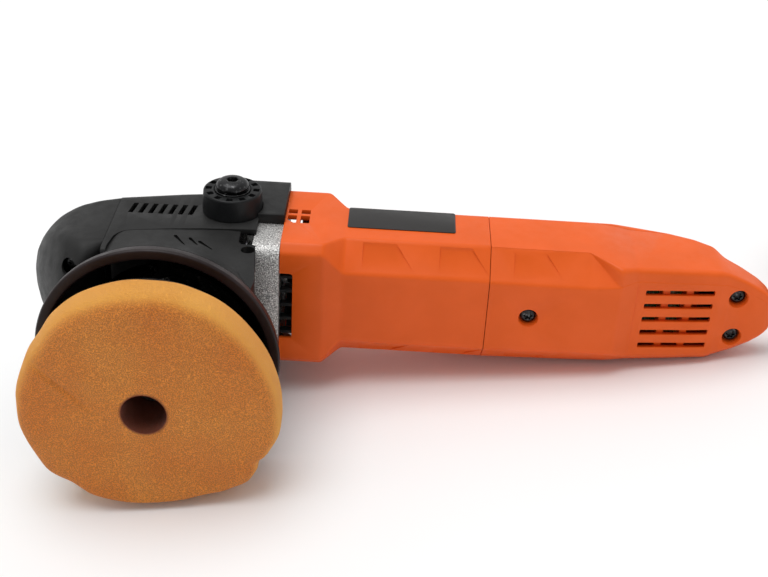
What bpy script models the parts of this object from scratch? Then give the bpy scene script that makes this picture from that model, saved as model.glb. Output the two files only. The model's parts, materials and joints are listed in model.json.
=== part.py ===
"""A corded dual-action (random-orbit) car polisher, lying on its side as when it is put down.

Sizes below are millimetres and the meshes are written in metres. The tool has its own frame: X runs
from the spindle to the tail, Y points away from the pad, Z is the tool's left side, and the origin is
where the motor's axis crosses the spindle's. The whole tool hangs from one empty, which turns it onto
the three points it lies on: the backing plate's edge, a side bolt and the end of the rear handle.
"""

from math import asin, atan, cos, hypot, pi, radians, sin, sqrt

import bmesh
import bpy
from mathutils import Matrix, Vector

MM = 0.001
GAP = 0.3  # between solids that touch

# Driving dimensions
ORBIT_RADIUS = 7.5  # half of the 15 mm throw
PAD_RADIUS = 70.0
PAD_HOLE_RADIUS = 12.0
PAD_FACE_Y = -137.0
PAD_BACK_Y = -109.2
PLATE_RADIUS = 62.5
RIM_RADIUS = 67.0
RIM_Y = -96.0
SEAM_X = 182.5  # motor housing to rear handle
SPLIT_Y = 20.0  # lower to upper half of the rear handle
WALL = 3.0
BOSS_X = 29.5
BOLT_TOP_Z = 64.0
TAIL_REST = (319.0, 9.0, -30.6)  # the corner of the rear handle that it lies on
PLATE_REST_Y = -103.5  # the edge of the backing plate that it lies on
CORD_RADIUS = 3.5
CORD_EXIT = (356.5, -11.0, 0.0)
RELIEF_TIP_X = 394.0
COIL_INNER, COIL_OUTER, COIL_HEIGHT = 27.6, 59.0, 28.4
COIL_CENTRE = (49.0, 77.0)  # from the strain relief's tip, over the surface
PINION_TEETH = 7
GEAR_TEETH = 28
CONE_LENGTH = 28.9  # from the apex to the outer ends of the bevel teeth
FACE_LENGTH = 9.0

# Stations along the orange body: X, half width in Z, lowest Y, highest Y, pad-side and palm-side chamfer
MOTOR_STATIONS = (
    (61.0, 41.0, -37.5, 37.5, 5.0, 5.0),
    (86.0, 41.0, -37.5, 37.5, 5.0, 5.0),
    (97.0, 38.4, -34.3, 34.3, 15.6, 15.6),
    (SEAM_X - 0.2, 38.4, -34.3, 34.3, 15.6, 15.6),
)
HANDLE_STATIONS = (
    (SEAM_X + 0.2, 38.4, -34.5, 34.3, 15.6, 15.6),
    (241.0, 38.2, -34.5, 34.0, 15.6, 15.0),
    (258.0, 36.0, -34.0, 32.5, 2.5, 11.0),
    (293.0, 33.1, -26.0, 27.0, 2.5, 9.0),
    (318.5, 30.6, -20.5, 18.0, 2.5, 8.0),
    (322.0, 28.5, -20.3, 9.0, 3.5, 8.0),
    (334.0, 25.0, -20.2, 5.0, 4.5, 7.0),
    (345.0, 19.0, -19.8, 1.0, 5.0, 6.0),
    (351.0, 14.0, -18.8, -2.0, 5.0, 5.0),
    (356.5, 9.0, -17.5, -4.5, 3.0, 3.0),
)
COVER_STATIONS = (
    (-38.0, 42.0, -50.0, 27.0, 2.0, 9.0),
    (0.0, 42.5, -50.0, 37.0, 2.0, 9.0),
    (46.0, 43.0, -50.0, 40.0, 2.0, 9.0),
)
NOSE_STATIONS = (
    (-38.3, 42.0, -44.0, 27.0, 2.0, 9.0),
    (-52.0, 41.2, -56.0, 23.0, 8.0, 9.0),
    (-66.0, 38.0, -60.0, 17.0, 12.0, 11.0),
    (-78.0, 32.0, -56.0, 10.0, 13.0, 12.0),
    (-86.0, 22.0, -48.0, 3.0, 12.0, 11.0),
    (-90.5, 9.0, -38.0, -6.0, 5.0, 5.0),
)

ORANGE = ("orange_plastic", (0.80, 0.17, 0.035, 1), 0.42, 0)
BLACK = ("black_rubber_cover", (0.035, 0.036, 0.038, 1), 0.55, 0)
BROWN = ("shroud_rubber", (0.045, 0.022, 0.022, 1), 0.6, 0)
BLACK_PLASTIC = ("black_plastic", (0.02, 0.02, 0.022, 1), 0.4, 0)
SILVER = ("cast_aluminium", (0.45, 0.44, 0.42, 1), 0.5, 1)
STEEL = ("bright_steel", (0.55, 0.55, 0.56, 1), 0.3, 1)
DARK_STEEL = ("black_oxide_steel", (0.03, 0.03, 0.03, 1), 0.35, 1)
LAMINATION = ("lamination_steel", (0.22, 0.22, 0.23, 1), 0.5, 1)
COPPER = ("enamelled_copper", (0.55, 0.22, 0.08, 1), 0.35, 1)
CARBON = ("brush_carbon", (0.05, 0.05, 0.05, 1), 0.7, 0)
FOAM = ("orange_foam", (0.78, 0.33, 0.09, 1), 0.95, 0)
LOOP = ("loop_fabric", (0.06, 0.06, 0.065, 1), 0.95, 0)
CORD = ("cord_rubber", (0.02, 0.02, 0.02, 1), 0.5, 0)
LABEL = ("label_film", (0.05, 0.05, 0.055, 1), 0.35, 0)
BOARD = ("circuit_board", (0.03, 0.16, 0.07, 1), 0.5, 0)


# --- helpers ---------------------------------------------------------------------------------


def material(finish):
    name, colour, roughness, metallic = finish
    made = bpy.data.materials.get(name)
    if made is None:
        made = bpy.data.materials.new(name)
        made.use_nodes = True
        shader = made.node_tree.nodes["Principled BSDF"]
        shader.inputs["Base Color"].default_value = colour
        shader.inputs["Roughness"].default_value = roughness
        shader.inputs["Metallic"].default_value = metallic
        made.diffuse_color = colour
    return made


def empty(name, place, parent=None, from_itself=False):
    """An empty at a place in millimetres. Its pieces' points count from the tool's origin, or from itself."""
    made = bpy.data.objects.new(name, None)
    made.empty_display_size = 0.02
    made["place"] = (0.0, 0.0, 0.0) if from_itself else place
    made.location = Vector(place) * MM
    if parent:
        made.parent = parent
        made.location -= Vector(parent["place"]) * MM
    bpy.context.scene.collection.objects.link(made)
    return made


def solid(name, vertices, faces, finish, parent, smooth_degrees=40):
    """A mesh object from points in the tool's millimetres, riding on the parent empty."""
    shift = Vector(parent["place"])
    bm = bmesh.new()
    points = [bm.verts.new((Vector(v) - shift) * MM) for v in vertices]
    for face in faces:
        bm.faces.new([points[i] for i in face])
    bmesh.ops.recalc_face_normals(bm, faces=bm.faces)
    mesh = bpy.data.meshes.new(name)
    bm.to_mesh(mesh)
    bm.free()
    mesh.shade_smooth()
    mesh.set_sharp_from_angle(angle=radians(smooth_degrees))
    mesh.materials.append(material(finish))
    made = bpy.data.objects.new(name, mesh)
    made.parent = parent
    bpy.context.scene.collection.objects.link(made)
    return made


def cutter(made):
    """Marks a solid as a helper, which shapes others and isn't a piece itself."""
    made.hide_render = True
    made.display_type = "WIRE"
    return made


def boolean(target, operation, other):
    step = target.modifiers.new(operation.lower(), "BOOLEAN")
    step.operation = operation
    step.solver = "EXACT"
    step.object = cutter(other)


def fuse(target, other):
    boolean(target, "UNION", other)


def cut(target, other):
    boolean(target, "DIFFERENCE", other)


def ring_faces(rings, count, closed_loop):
    """Quads between neighbouring rings of the same number of points, and end caps unless it's a loop."""
    faces = []
    pairs = rings if closed_loop else rings - 1
    for r in range(pairs):
        a, b = r * count, (r + 1) % rings * count
        for i in range(count):
            j = (i + 1) % count
            faces.append((a + i, a + j, b + j, b + i))
    if not closed_loop:
        faces.append(tuple(range(count)))
        faces.append(tuple((rings - 1) * count + i for i in range(count)))
    return faces


def loft(name, rings, finish, parent, closed_loop=False):
    points = [p for ring in rings for p in ring]
    return solid(name, points, ring_faces(len(rings), len(rings[0]), closed_loop), finish, parent)


def on_axis(axis, centre, along, radius, angle):
    """The point at a distance along an axis (X, Y or Z) through a centre, and at a radius and angle."""
    u, v = radius * cos(angle), radius * sin(angle)
    offset = {"X": (along, u, v), "Y": (u, along, v), "Z": (u, v, along)}[axis]
    return Vector(centre) + Vector(offset)


def turned(name, axis, profile, finish, parent, centre=(0, 0, 0), segments=24, bored=True):
    """A turned piece: profile is (along, radius) pairs. Bored closes it on itself, else its ends are capped."""
    rings = [
        [on_axis(axis, centre, along, radius, 2 * pi * i / segments) for i in range(segments)]
        for along, radius in profile
    ]
    return loft(name, rings, finish, parent, closed_loop=bored)


def tube(name, axis, start, end, inner, outer, finish, parent, centre=(0, 0, 0), segments=24):
    profile = ((start, outer), (end, outer), (end, inner), (start, inner))
    return turned(name, axis, profile, finish, parent, centre, segments)


def rod(name, axis, start, end, radius, finish, parent, centre=(0, 0, 0), segments=24):
    profile = ((start, radius), (end, radius))
    return turned(name, axis, profile, finish, parent, centre, segments, bored=False)


def prism(name, axis, outline, start, end, finish, parent, centre=(0, 0, 0)):
    """An outline of (u, v) points, pushed along an axis."""
    order = {"X": (2, 0, 1), "Y": (0, 2, 1), "Z": (0, 1, 2)}[axis]
    rings = []
    for along in (start, end):
        places = [(u, v, along) for u, v in outline]
        rings.append([Vector(centre) + Vector([place[i] for i in order]) for place in places])
    return loft(name, rings, finish, parent)


def block(name, low, high, finish, parent):
    outline = ((low[0], low[1]), (high[0], low[1]), (high[0], high[1]), (low[0], high[1]))
    return prism(name, "Z", outline, low[2], high[2], finish, parent)


def group(name, pieces, parent):
    """One helper object out of several separate solids, each given as (points, faces)."""
    points, faces = [], []
    for more_points, more_faces in pieces:
        shift = len(points)
        points += more_points
        faces += [tuple(shift + i for i in face) for face in more_faces]
    return solid(name, points, faces, BLACK_PLASTIC, parent)


def box_piece(low, high):
    xs, ys, zs = zip(low, high)
    points = [Vector((x, y, z)) for x in xs for y in ys for z in zs]
    faces = [(0, 1, 3, 2), (4, 6, 7, 5), (0, 4, 5, 1), (2, 3, 7, 6), (0, 2, 6, 4), (1, 5, 7, 3)]
    return points, faces


def turned_piece(axis, profile, centre, segments=16):
    points = [
        on_axis(axis, centre, along, radius, 2 * pi * i / segments)
        for along, radius in profile
        for i in range(segments)
    ]
    return points, ring_faces(len(profile), segments, False)


def section(x, half, low, high, low_chamfer, high_chamfer, inset=0.0):
    """One ring across the body: a box with its long edges cut off, or the same box set in by a wall."""
    half, low, high = half - inset, low + inset, high - inset
    slope = inset * (2 - sqrt(2))
    c, d = max(low_chamfer - slope, 0.8), max(high_chamfer - slope, 0.8)
    ring = (
        (low, half - c), (low + c, half), (high - d, half), (high, half - d),
        (high, d - half), (high - d, -half), (low + c, -half), (low, c - half),
    )
    return [Vector((x, y, z)) for y, z in ring]


def arc(radius, start, end, steps):
    angles = [radians(start + (end - start) * i / steps) for i in range(steps + 1)]
    return [(radius * cos(a), radius * sin(a)) for a in angles]


def sector(inner, outer, middle, spread, steps=8):
    """The outline of a piece of a flat ring, in degrees about its middle."""
    a, b = middle - spread, middle + spread
    return arc(outer, a, b, steps) + arc(inner, b, a, steps)


# --- head: gear case, covers and shroud ------------------------------------------------------


def gear_case(parent):
    corner, half, palm, pad_side = 10.0, 39.5, 34.5, -40.0
    centres = (
        (palm - corner, half - corner, 0), (pad_side + corner, half - corner, 90),
        (pad_side + corner, corner - half, 180), (palm - corner, corner - half, 270),
    )
    outline = [
        (y + corner * cos(radians(start + turn)), z + corner * sin(radians(start + turn)))
        for y, z, start in centres
        for turn in (0, 30, 60, 90)
    ]
    case = prism("gear_case", "X", outline, 45.0, 60.7, SILVER, parent)
    fuse(case, rod("case_neck", "X", 18.0, 46.0, 22.5, SILVER, parent, segments=20))
    fuse(case, rod("case_lugs", "Z", -39.0, 39.0, 8.5, SILVER, parent, (BOSS_X, 0, 0), 16))
    cup = ((-36.0, 34.0), (14.0, 34.0), (26.0, 20.0))
    fuse(case, turned("case_cup", "Y", cup, SILVER, parent, segments=28, bored=False))
    cavity = ((-37.0, 30.7), (12.0, 30.7), (12.0, 13.4), (23.0, 13.4))
    cut(case, turned("case_cavity", "Y", cavity, SILVER, parent, segments=28, bored=False))
    cut(case, rod("case_bore", "X", 10.0, 62.0, 16.5, SILVER, parent, segments=20))
    taps = [turned_piece("Z", ((side * 27.0, 4.6), (side * 41.0, 4.6)), (BOSS_X, 0, 0), 12) for side in (-1, 1)]
    cut(case, group("case_taps", taps, parent))
    return case


def bearing_retainer(parent):
    profile = (
        (-21.6, 30.2), (-36.3, 30.2), (-36.3, 33.0), (-40.0, 33.0),
        (-40.0, 11.0), (-34.0, 11.0), (-34.0, 20.3), (-21.6, 20.3),
    )
    return turned("bearing_retainer", "Y", profile, SILVER, parent, segments=22)


def seam_y(x):
    """Where the head cover meets the lower gear case, which slopes down towards the nose."""
    return -36.0 + (x + 35.0) * 13.0 / 81.0


def funnel_ring(y, share, radius, inset, sloped=False, steps=30):
    """A ring about the spindle's axis, part way from the case's rounded box to a circle."""
    front, back, side, power = 37.6, 44.5, 40.5, 5.0
    ring = []
    for i in range(steps):
        angle = 2 * pi * i / steps
        c, s = cos(angle), sin(angle)
        long_side = (back if c > 0 else front) - inset
        boxed = (abs(c / long_side) ** power + abs(s / (side - inset)) ** power) ** (-1 / power)
        reach = (1 - share) * boxed + share * (radius - inset)
        x = reach * c
        ring.append(Vector((x, seam_y(x) - GAP if sloped else y, reach * s)))
    return ring


def lower_gear_case(parent):
    outside = (
        (-30.0, 0.0, 60.0, True), (-46.0, 0.0, 60.0, False), (-60.0, 0.25, 54.0, False),
        (-74.0, 0.62, 60.5, False), (-85.0, 0.92, 64.5, False), (-89.5, 1.0, 66.3, False),
    )
    rings = [funnel_ring(y, share, radius, 0.0, sloped) for y, share, radius, sloped in outside]
    case = loft("lower_gear_case", rings, BLACK, parent)
    upper = [funnel_ring(y, 0.0, 60.0, WALL) for y in (-15.0, -41.0)]
    cut(case, loft("lower_case_upper_room", upper, BLACK, parent))
    lower = [funnel_ring(-45.0, 0.0, 60.0, WALL)]
    lower += [funnel_ring(y, share, radius, WALL) for y, share, radius, _ in outside[2:]]
    lower += [funnel_ring(-95.0, 1.0, 68.0, WALL)]
    cut(case, loft("lower_case_lower_room", lower, BLACK, parent))
    web_hole = turned_piece("Y", ((-46.0, 20.5), (-40.0, 20.5)), (0, 0, 0), 24)
    screw_hole = turned_piece("Y", ((-46.0, 2.4), (-40.0, 2.4)), (-12.0, 0, 26.0), 10)
    ear_hole = turned_piece("Z", ((30.0, 2.3), (36.0, 2.3), (36.0, 4.4), (50.0, 4.4)), (41.0, -36.0, 0), 16)
    cut(case, group("lower_case_holes", [web_hole, screw_hole, ear_hole], parent))
    return case


def shroud_rim(parent):
    profile = (
        (-89.8, 66.4), (-94.5, RIM_RADIUS), (RIM_Y, 66.4), (RIM_Y, 61.5), (-95.0, 60.5), (-89.8, 62.6),
    )
    return turned("shroud_rim", "Y", profile, BROWN, parent, segments=40)


def head_cover(parent):
    cover = loft("head_cover", [section(*s) for s in COVER_STATIONS], BLACK, parent)
    bridge = block("cover_bridge", (32.0, -9.0, -46.0), (59.0, 39.9, 46.0), BLACK, parent)
    fuse(cover, bridge)
    inside = [section(x, half, -60.0, high, 1.0, d, WALL) for x, half, _, high, _, d in COVER_STATIONS]
    for p in inside[0]:
        p.x = -40.0
    for p in inside[2]:
        p.x = 62.0
    cut(cover, loft("cover_room", inside, BLACK, parent))
    # The lower edge follows the seam.
    below = [(-45.0, seam_y(-45.0)), (47.0, seam_y(47.0)), (47.0, -70.0), (-45.0, -70.0)]
    cut(cover, prism("cover_below_seam", "Z", below, -60.0, 60.0, BLACK, parent))
    slots = []
    wide, lean, low, high = 2.9, 2.6, -5.0, 8.5
    for i in range(7):
        x = -31.0 + 5.9 * i
        outline = ((x, low), (x + wide, low), (x + wide + lean, high), (x + lean, high))
        for side in (-1, 1):
            points = [Vector((u, v, side * z)) for z in (36.0, 46.0) for u, v in outline]
            slots.append((points, ring_faces(2, 4, False)))
    cut(cover, group("cover_slots", slots, parent))
    seats = []
    for side in (-1, 1):
        profile = ((side * 36.0, 4.8), (side * 43.1, 4.8), (side * 43.1, 18.2), (side * 60.0, 18.2))
        seats.append(turned_piece("Z", profile, (BOSS_X, 0, 0), 24))
    cut(cover, group("cover_boss_seats", seats, parent))
    return cover


def nose_cover(parent):
    nose = loft("nose_cover", [section(*s) for s in NOSE_STATIONS], BLACK, parent)
    inside = [section(*s, WALL) for s in NOSE_STATIONS[:-1]]
    for p in inside[0]:
        p.x = -37.0
    cut(nose, loft("nose_room", inside, BLACK, parent))
    # The shroud's flare passes under the nose.
    flare = ((-35.0, 41.5), (-48.0, 43.0), (-60.0, 52.0), (-74.0, 61.0), (-100.0, 68.0))
    around = [
        [on_axis("Y", (0, 0, 0), y, radius + 0.6, 2 * pi * i / 32) for i in range(32)]
        for y, radius in flare
    ]
    cut(nose, loft("nose_flare_clearance", around, BLACK, parent))
    screw_hole = turned_piece("Y", ((-70.0, 4.2), (-40.0, 4.2)), (-58.0, 0, 26.0), 16)
    cut(nose, group("nose_screw_hole", [screw_hole], parent))
    return nose


def side_boss(side, name, parent):
    """The seat for a side handle: a collar with a ring of notches, its washer and its button-head bolt."""
    base, top = 43.0 + GAP, 56.5
    profile = (
        (side * base, 17.8), (side * top, 17.0), (side * top, 10.9), (side * (top - 1.4), 10.9),
        (side * (top - 1.4), 4.6), (side * base, 4.6),
    )
    boss = turned(f"handle_boss_{name}", "Z", profile, BLACK, parent, (BOSS_X, 0, 0), 24)
    notches = []
    for i in range(12):
        angle = radians(30 * i)
        spot = Vector((BOSS_X + 14.0 * cos(angle), 14.0 * sin(angle), 0))
        half = Vector((1.1, 1.1, 1.0))
        middle = spot + Vector((0, 0, side * top))
        notches.append(box_piece(middle - half, middle + half))
    cut(boss, group(f"boss_notches_{name}", notches, parent))
    seat = side * (top - 1.4 + GAP)
    tube(f"boss_washer_{name}", "Z", seat, seat + side * 1.6, 4.6, 10.4, DARK_STEEL, parent, (BOSS_X, 0, 0), 16)
    head = seat + side * (1.6 + GAP)
    socket = head + side * 1.2
    profile = (
        (side * (base - 12.0), 4.2), (head, 4.2), (head, 9.3), (head + side * 2.4, 8.9),
        (side * (BOLT_TOP_Z - 1.0), 6.6), (side * BOLT_TOP_Z, 4.2), (socket, 4.0),
    )
    turned(f"boss_bolt_{name}", "Z", profile, DARK_STEEL, parent, (BOSS_X, 0, 0), 16, bored=False)


def head_screws(parent):
    """The screw in the nose, and the one under the shroud that holds the bearing retainer."""
    profile = ((-46.0, 2.0), (-54.0, 2.0), (-54.0, 3.8), (-57.0, 3.8))
    turned("nose_screw", "Y", profile, DARK_STEEL, parent, (-58.0, 0, 26.0), 12, bored=False)
    profile = ((-40.3, 2.0), (-45.3, 2.0), (-45.3, 3.9), (-48.4, 3.9), (-48.4, 1.9), (-46.8, 1.9))
    turned("retainer_screw", "Y", profile, DARK_STEEL, parent, (-12.0, 0, 26.0), 14, bored=False)


# --- drive: pinion, bevel gear, spindle, eccentric, pad --------------------------------------


def bevel_teeth(axis_turn, teeth, cone, phase):
    """Outer and inner tooth outlines: four points a tooth, on lines that meet at the apex."""
    module_angle = atan(2 * sin(cone) / teeth)
    tip, root = cone + module_angle * 0.85, cone - module_angle * 1.1
    wide, narrow = 0.58 * pi / teeth, 0.22 * pi / teeth
    rings = []
    for distance in (CONE_LENGTH, CONE_LENGTH - FACE_LENGTH):
        ring = []
        for i in range(teeth):
            middle = phase + 2 * pi * i / teeth
            for polar, offset in ((root, -wide), (tip, -narrow), (tip, narrow), (root, wide)):
                along, reach = distance * cos(polar), distance * sin(polar)
                ring.append(axis_turn(along, reach, middle + offset))
        rings.append(ring)
    return rings


def gear_solid(name, rings, outer_circles, inner_circles, finish, parent, bored):
    """Joins both tooth outlines, with one point a tooth on each turned ring behind and before them."""
    outer, inner = rings
    teeth = len(outer) // 4
    points = outer + inner
    faces = []
    n = len(outer)
    for i in range(n):
        j = (i + 1) % n
        faces.append((i, j, n + j, n + i))
    turns = [(t, (t + 1) % teeth) for t in range(teeth)]
    last_circles = []
    for start, circles in ((0, outer_circles), (n, inner_circles)):
        before = len(points)
        points += circles[0]
        for t, u in turns:
            faces += [(start + 4 * t + k, start + 4 * t + k + 1, before + t) for k in range(3)]
            faces.append((start + 4 * t + 3, start + 4 * u, before + t))
            faces.append((start + 4 * u, before + u, before + t))
        for circle in circles[1:]:
            base = len(points)
            points += circle
            faces += [(before + t, before + u, base + u, base + t) for t, u in turns]
            before = base
        last_circles.append(before)
    if bored:
        a, b = last_circles
        faces += [(a + t, a + u, b + u, b + t) for t, u in turns]
    else:
        faces += [tuple(base + t for t in range(teeth)) for base in last_circles]
    return solid(name, points, faces, finish, parent, 25)


def bevel_gear(parent):
    cone = atan(GEAR_TEETH / PINION_TEETH)

    def turn(along, reach, angle):
        return Vector((reach * cos(angle), -along, reach * sin(angle)))

    rings = bevel_teeth(turn, GEAR_TEETH, cone, 0.0)

    def circle(y, radius):
        return [turn(-y, radius, 2 * pi * t / GEAR_TEETH) for t in range(GEAR_TEETH)]

    outer = [circle(-13.0, 26.0), circle(-13.0, 14.0), circle(-20.0, 13.0), circle(-20.0, 7.9)]
    inner = [circle(-9.0, 16.0), circle(-9.0, 7.9)]
    return gear_solid("bevel_gear", rings, outer, inner, STEEL, parent, bored=True)


def pinion(parent):
    cone = atan(PINION_TEETH / GEAR_TEETH)

    def turn(along, reach, angle):
        return Vector((along, reach * cos(angle), reach * sin(angle)))

    gap_down = pi + pi / PINION_TEETH
    rings = bevel_teeth(turn, PINION_TEETH, cone, gap_down)

    def circle(x, radius):
        return [turn(x, radius, gap_down + 2 * pi * t / PINION_TEETH) for t in range(PINION_TEETH)]

    outer = [circle(30.0, 6.2), circle(37.0, 6.2)]
    inner = [circle(18.4, 2.6)]
    return gear_solid("pinion", rings, outer, inner, STEEL, parent, bored=False)


def spindle_parts(spindle):
    profile = (
        (22.6, 5.8), (12.5, 5.8), (12.5, 7.5), (-21.0, 7.5),
        (-21.0, 8.5), (-33.8, 8.5), (-33.8, 7.9), (-50.5, 7.9),
    )
    turned("spindle_shaft", "Y", profile, STEEL, spindle, segments=20, bored=False)
    bevel_gear(spindle)
    tube("spindle_bearing_upper", "Y", 12.8, 22.0, 6.1, 13.0, STEEL, spindle, segments=20)
    tube("spindle_bearing_lower", "Y", -22.5, -33.5, 8.8, 20.0, STEEL, spindle, segments=24)


def counterweight(spindle):
    """The eccentric: a hub on the orbit's axis under a boss on the spindle's, and weights on the far side."""
    offset = (0, 0, -ORBIT_RADIUS)
    hub = ((-51.0, 20.0), (-89.0, 20.0))
    weight = turned("counterweight", "Y", hub, DARK_STEEL, spindle, offset, 28, bored=False)
    fuse(weight, rod("eccentric_boss", "Y", -43.0, -54.0, 13.0, DARK_STEEL, spindle, segments=24))
    right = sector(8.0, 54.5, 90 - 33.0, 24.0)
    left = sector(8.0, 42.0, 90 + 34.0, 22.0)
    fuse(weight, prism("weight_right", "Y", right, -80.5, -89.0, DARK_STEEL, spindle))
    fuse(weight, prism("weight_left", "Y", left, -66.0, -84.0, DARK_STEEL, spindle))
    bore = turned_piece("Y", ((-57.5, 16.3), (-95.0, 16.3)), offset, 24)
    seat = turned_piece("Y", ((-40.0, 8.2), (-51.0, 8.2)), (0, 0, 0), 20)
    cut(weight, group("eccentric_bores", [bore, seat], spindle))
    return weight


def pad_parts(spindle, pad):
    offset = (0, 0, -ORBIT_RADIUS)
    tube("pad_bearing_upper", "Y", -58.0, -66.0, 7.8, 16.0, STEEL, spindle, offset, 20)
    tube("pad_bearing_lower", "Y", -72.0, -80.0, 7.8, 16.0, STEEL, spindle, offset, 20)
    shaft = ((-60.0, 7.5), (-92.0, 7.5), (-92.0, 13.0), (-98.7, 13.0), (-98.7, 4.4), (-76.0, 4.4))
    turned("pad_spindle", "Y", shaft, STEEL, pad, offset, 20, bored=False)
    plate = (
        (-99.0, 22.0), (-101.0, PLATE_RADIUS - 4), (-103.5, PLATE_RADIUS), (-107.5, PLATE_RADIUS),
        (-107.5, 9.0), (-103.0, 9.0), (-103.0, 4.4), (-99.0, 4.4),
    )
    turned("backing_plate", "Y", plate, BLACK_PLASTIC, pad, offset, 32)
    tube("loop_disc", "Y", -107.8, -108.9, PAD_HOLE_RADIUS, PLATE_RADIUS - 1, LOOP, pad, offset, 32)
    bolt = (
        (-78.0, 4.0), (-103.3, 4.0), (-103.3, 7.5), (-107.0, 7.5), (-107.6, 6.6), (-107.6, 3.4), (-104.6, 3.4),
    )
    turned("plate_bolt", "Y", bolt, DARK_STEEL, pad, offset, 16, bored=False)
    foam_pad(pad)


def foam_pad(pad):
    edge = 8.0
    angles = [radians(a) for a in (0, 30, 60, 90)]
    corner = [(PAD_FACE_Y + edge * (1 - sin(a)), PAD_RADIUS - edge * (1 - cos(a))) for a in angles]
    profile = [(PAD_BACK_Y, PAD_RADIUS - 5.0), (PAD_BACK_Y - 5.0, PAD_RADIUS - 0.5)] + corner
    profile += [(PAD_FACE_Y, PAD_HOLE_RADIUS), (PAD_BACK_Y, PAD_HOLE_RADIUS)]
    foam = turned("foam_pad", "Y", profile, FOAM, pad, (0, 0, -ORBIT_RADIUS), 36)
    # The weight of the tool flattens the pad where it would reach below the surface it lies on.
    a, b, c = rest_plane()
    reach, deep = 120.0, -200.0
    corners = ((-reach, -150.0), (reach, -150.0), (reach, -100.0), (-reach, -100.0))
    top = [Vector((x, y, a * x + b * y + c + GAP)) for x, y in corners]
    bottom = [Vector((x, y, deep)) for x, y in corners]
    cut(foam, loft("surface_under_pad", [bottom, top], FOAM, pad))


# --- motor -------------------------------------------------------------------------------------


def motor_housing(parent):
    housing = loft("motor_housing", [section(*s) for s in MOTOR_STATIONS], ORANGE, parent)
    inside = [section(*s, WALL) for s in MOTOR_STATIONS]
    for p in inside[0]:
        p.x -= 1.0
    for p in inside[-1]:
        p.x += 1.0
    cut(housing, loft("motor_room", inside, ORANGE, parent))
    openings = [
        box_piece((60.0, -40.0, -21.5), (68.5, -30.0, 23.0)),
        box_piece((60.0, 30.0, -21.5), (68.5, 40.0, 21.5)),
    ]
    window_width = 5.4
    for side in (-1, 1):
        near, far = sorted((side * 36.0, side * 43.0))
        for x in (62.3, 70.0):
            for y, tall in ((3.0, 5.0), (-8.5, 9.0)):
                openings.append(box_piece((x, y, near), (x + window_width, y + tall, far)))
    cut(housing, group("motor_openings", openings, parent))
    return housing


def fan_baffle(parent):
    outer = [section(x, 37.2, -33.7, 33.7, 3.5, 3.5) for x in (80.0, 83.0)]
    baffle = loft("fan_baffle", outer, BLACK_PLASTIC, parent)
    cut(baffle, rod("baffle_hole", "X", 78.0, 85.0, 22.0, BLACK_PLASTIC, parent))
    return baffle


def stator(parent):
    """A laminated ring with a pole on each side, and a copper frame around each pole."""
    inner_pole, inner_yoke, outer = 18.8, 26.0, 30.5
    outline = []
    steps = 48
    for i in range(steps):
        angle = 2 * pi * i / steps
        pole = abs(sin(angle)) > sin(radians(47))
        reach = inner_pole if pole else inner_yoke
        outline.append((reach * cos(angle), reach * sin(angle)))
    core = rod("stator_core", "X", 100.0, 150.0, outer, LAMINATION, parent, segments=32)
    cut(core, prism("stator_bore", "X", outline, 99.0, 151.0, LAMINATION, parent))
    for name, middle in (("left", 90.0), ("right", 270.0)):
        whole = sector(20.0, 25.6, middle, 62.0, 10)
        coil = prism(f"field_coil_{name}", "X", whole, 93.0, 157.0, COPPER, parent)
        window = sector(15.0, 30.0, middle, 51.5, 8)
        cut(coil, prism(f"coil_window_{name}", "X", window, 99.0, 151.0, COPPER, parent))


def armature_parts(armature):
    shaft = (
        (37.3, 5.0), (44.0, 5.0), (44.0, 6.0), (76.5, 6.0), (76.5, 6.5), (158.0, 6.5),
        (158.0, 5.5), (171.5, 5.5), (171.5, 4.0), (181.0, 4.0),
    )
    turned("armature_shaft", "X", shaft, STEEL, armature, segments=16, bored=False)
    pinion(armature)
    core = ((101.0, 18.0), (149.0, 18.0), (149.0, 8.2), (101.0, 8.2))
    turned("armature_core", "X", core, LAMINATION, armature, segments=24)
    winding = (
        (92.0, 13.0), (95.0, 16.5), (100.7, 16.5), (100.7, 7.9), (149.3, 7.9),
        (149.3, 16.5), (154.0, 16.5), (157.0, 13.0), (157.0, 6.8), (92.0, 6.8),
    )
    turned("armature_winding", "X", winding, COPPER, armature, segments=16)
    tube("commutator", "X", 158.5, 170.5, 5.8, 12.5, COPPER, armature, segments=16)
    cooling_fan(armature)
    tube("armature_bearing_front", "X", 44.5, 56.0, 6.3, 16.0, STEEL, armature, segments=20)
    tube("armature_bearing_rear", "X", 172.3, 178.7, 4.3, 11.0, STEEL, armature, segments=16)


def cooling_fan(armature):
    """Nine straight blades on a hub."""
    blades, hub, tip, thick = 9, 10.5, 31.0, 1.1
    outline = []
    for i in range(blades):
        middle = 2 * pi * i / blades
        for radius, side in ((hub, -1), (tip, -1), (tip, 1), (hub, 1)):
            angle = middle + side * asin(thick / radius)
            outline.append((radius * cos(angle), radius * sin(angle)))
    fan = prism("cooling_fan", "X", outline, 63.5, 77.0, BLACK_PLASTIC, armature)
    cut(fan, rod("fan_bore", "X", 60.0, 80.0, 6.8, BLACK_PLASTIC, armature, segments=16))
    return fan


def brush_gear(parent):
    tube("rear_bearing_bracket", "X", 172.3, 179.0, 11.3, 30.5, BLACK_PLASTIC, parent, segments=28)
    for name, side in (("left", 1), ("right", -1)):
        near, far = sorted((side * 15.0, side * 31.0))
        holder = block(f"brush_holder_{name}", (158.5, -6.5, near), (170.5, 6.5, far), BLACK_PLASTIC, parent)
        near, far = sorted((side * 10.0, side * 29.0))
        cut(holder, block(f"brush_room_{name}", (161.0, -4.0, near), (168.0, 4.0, far), BLACK_PLASTIC, parent))
        near, far = sorted((side * 12.9, side * 27.0))
        block(f"carbon_brush_{name}", (161.3, -3.7, near), (167.7, 3.7, far), CARBON, parent)


# --- rear handle, switch and cord --------------------------------------------------------------

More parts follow.
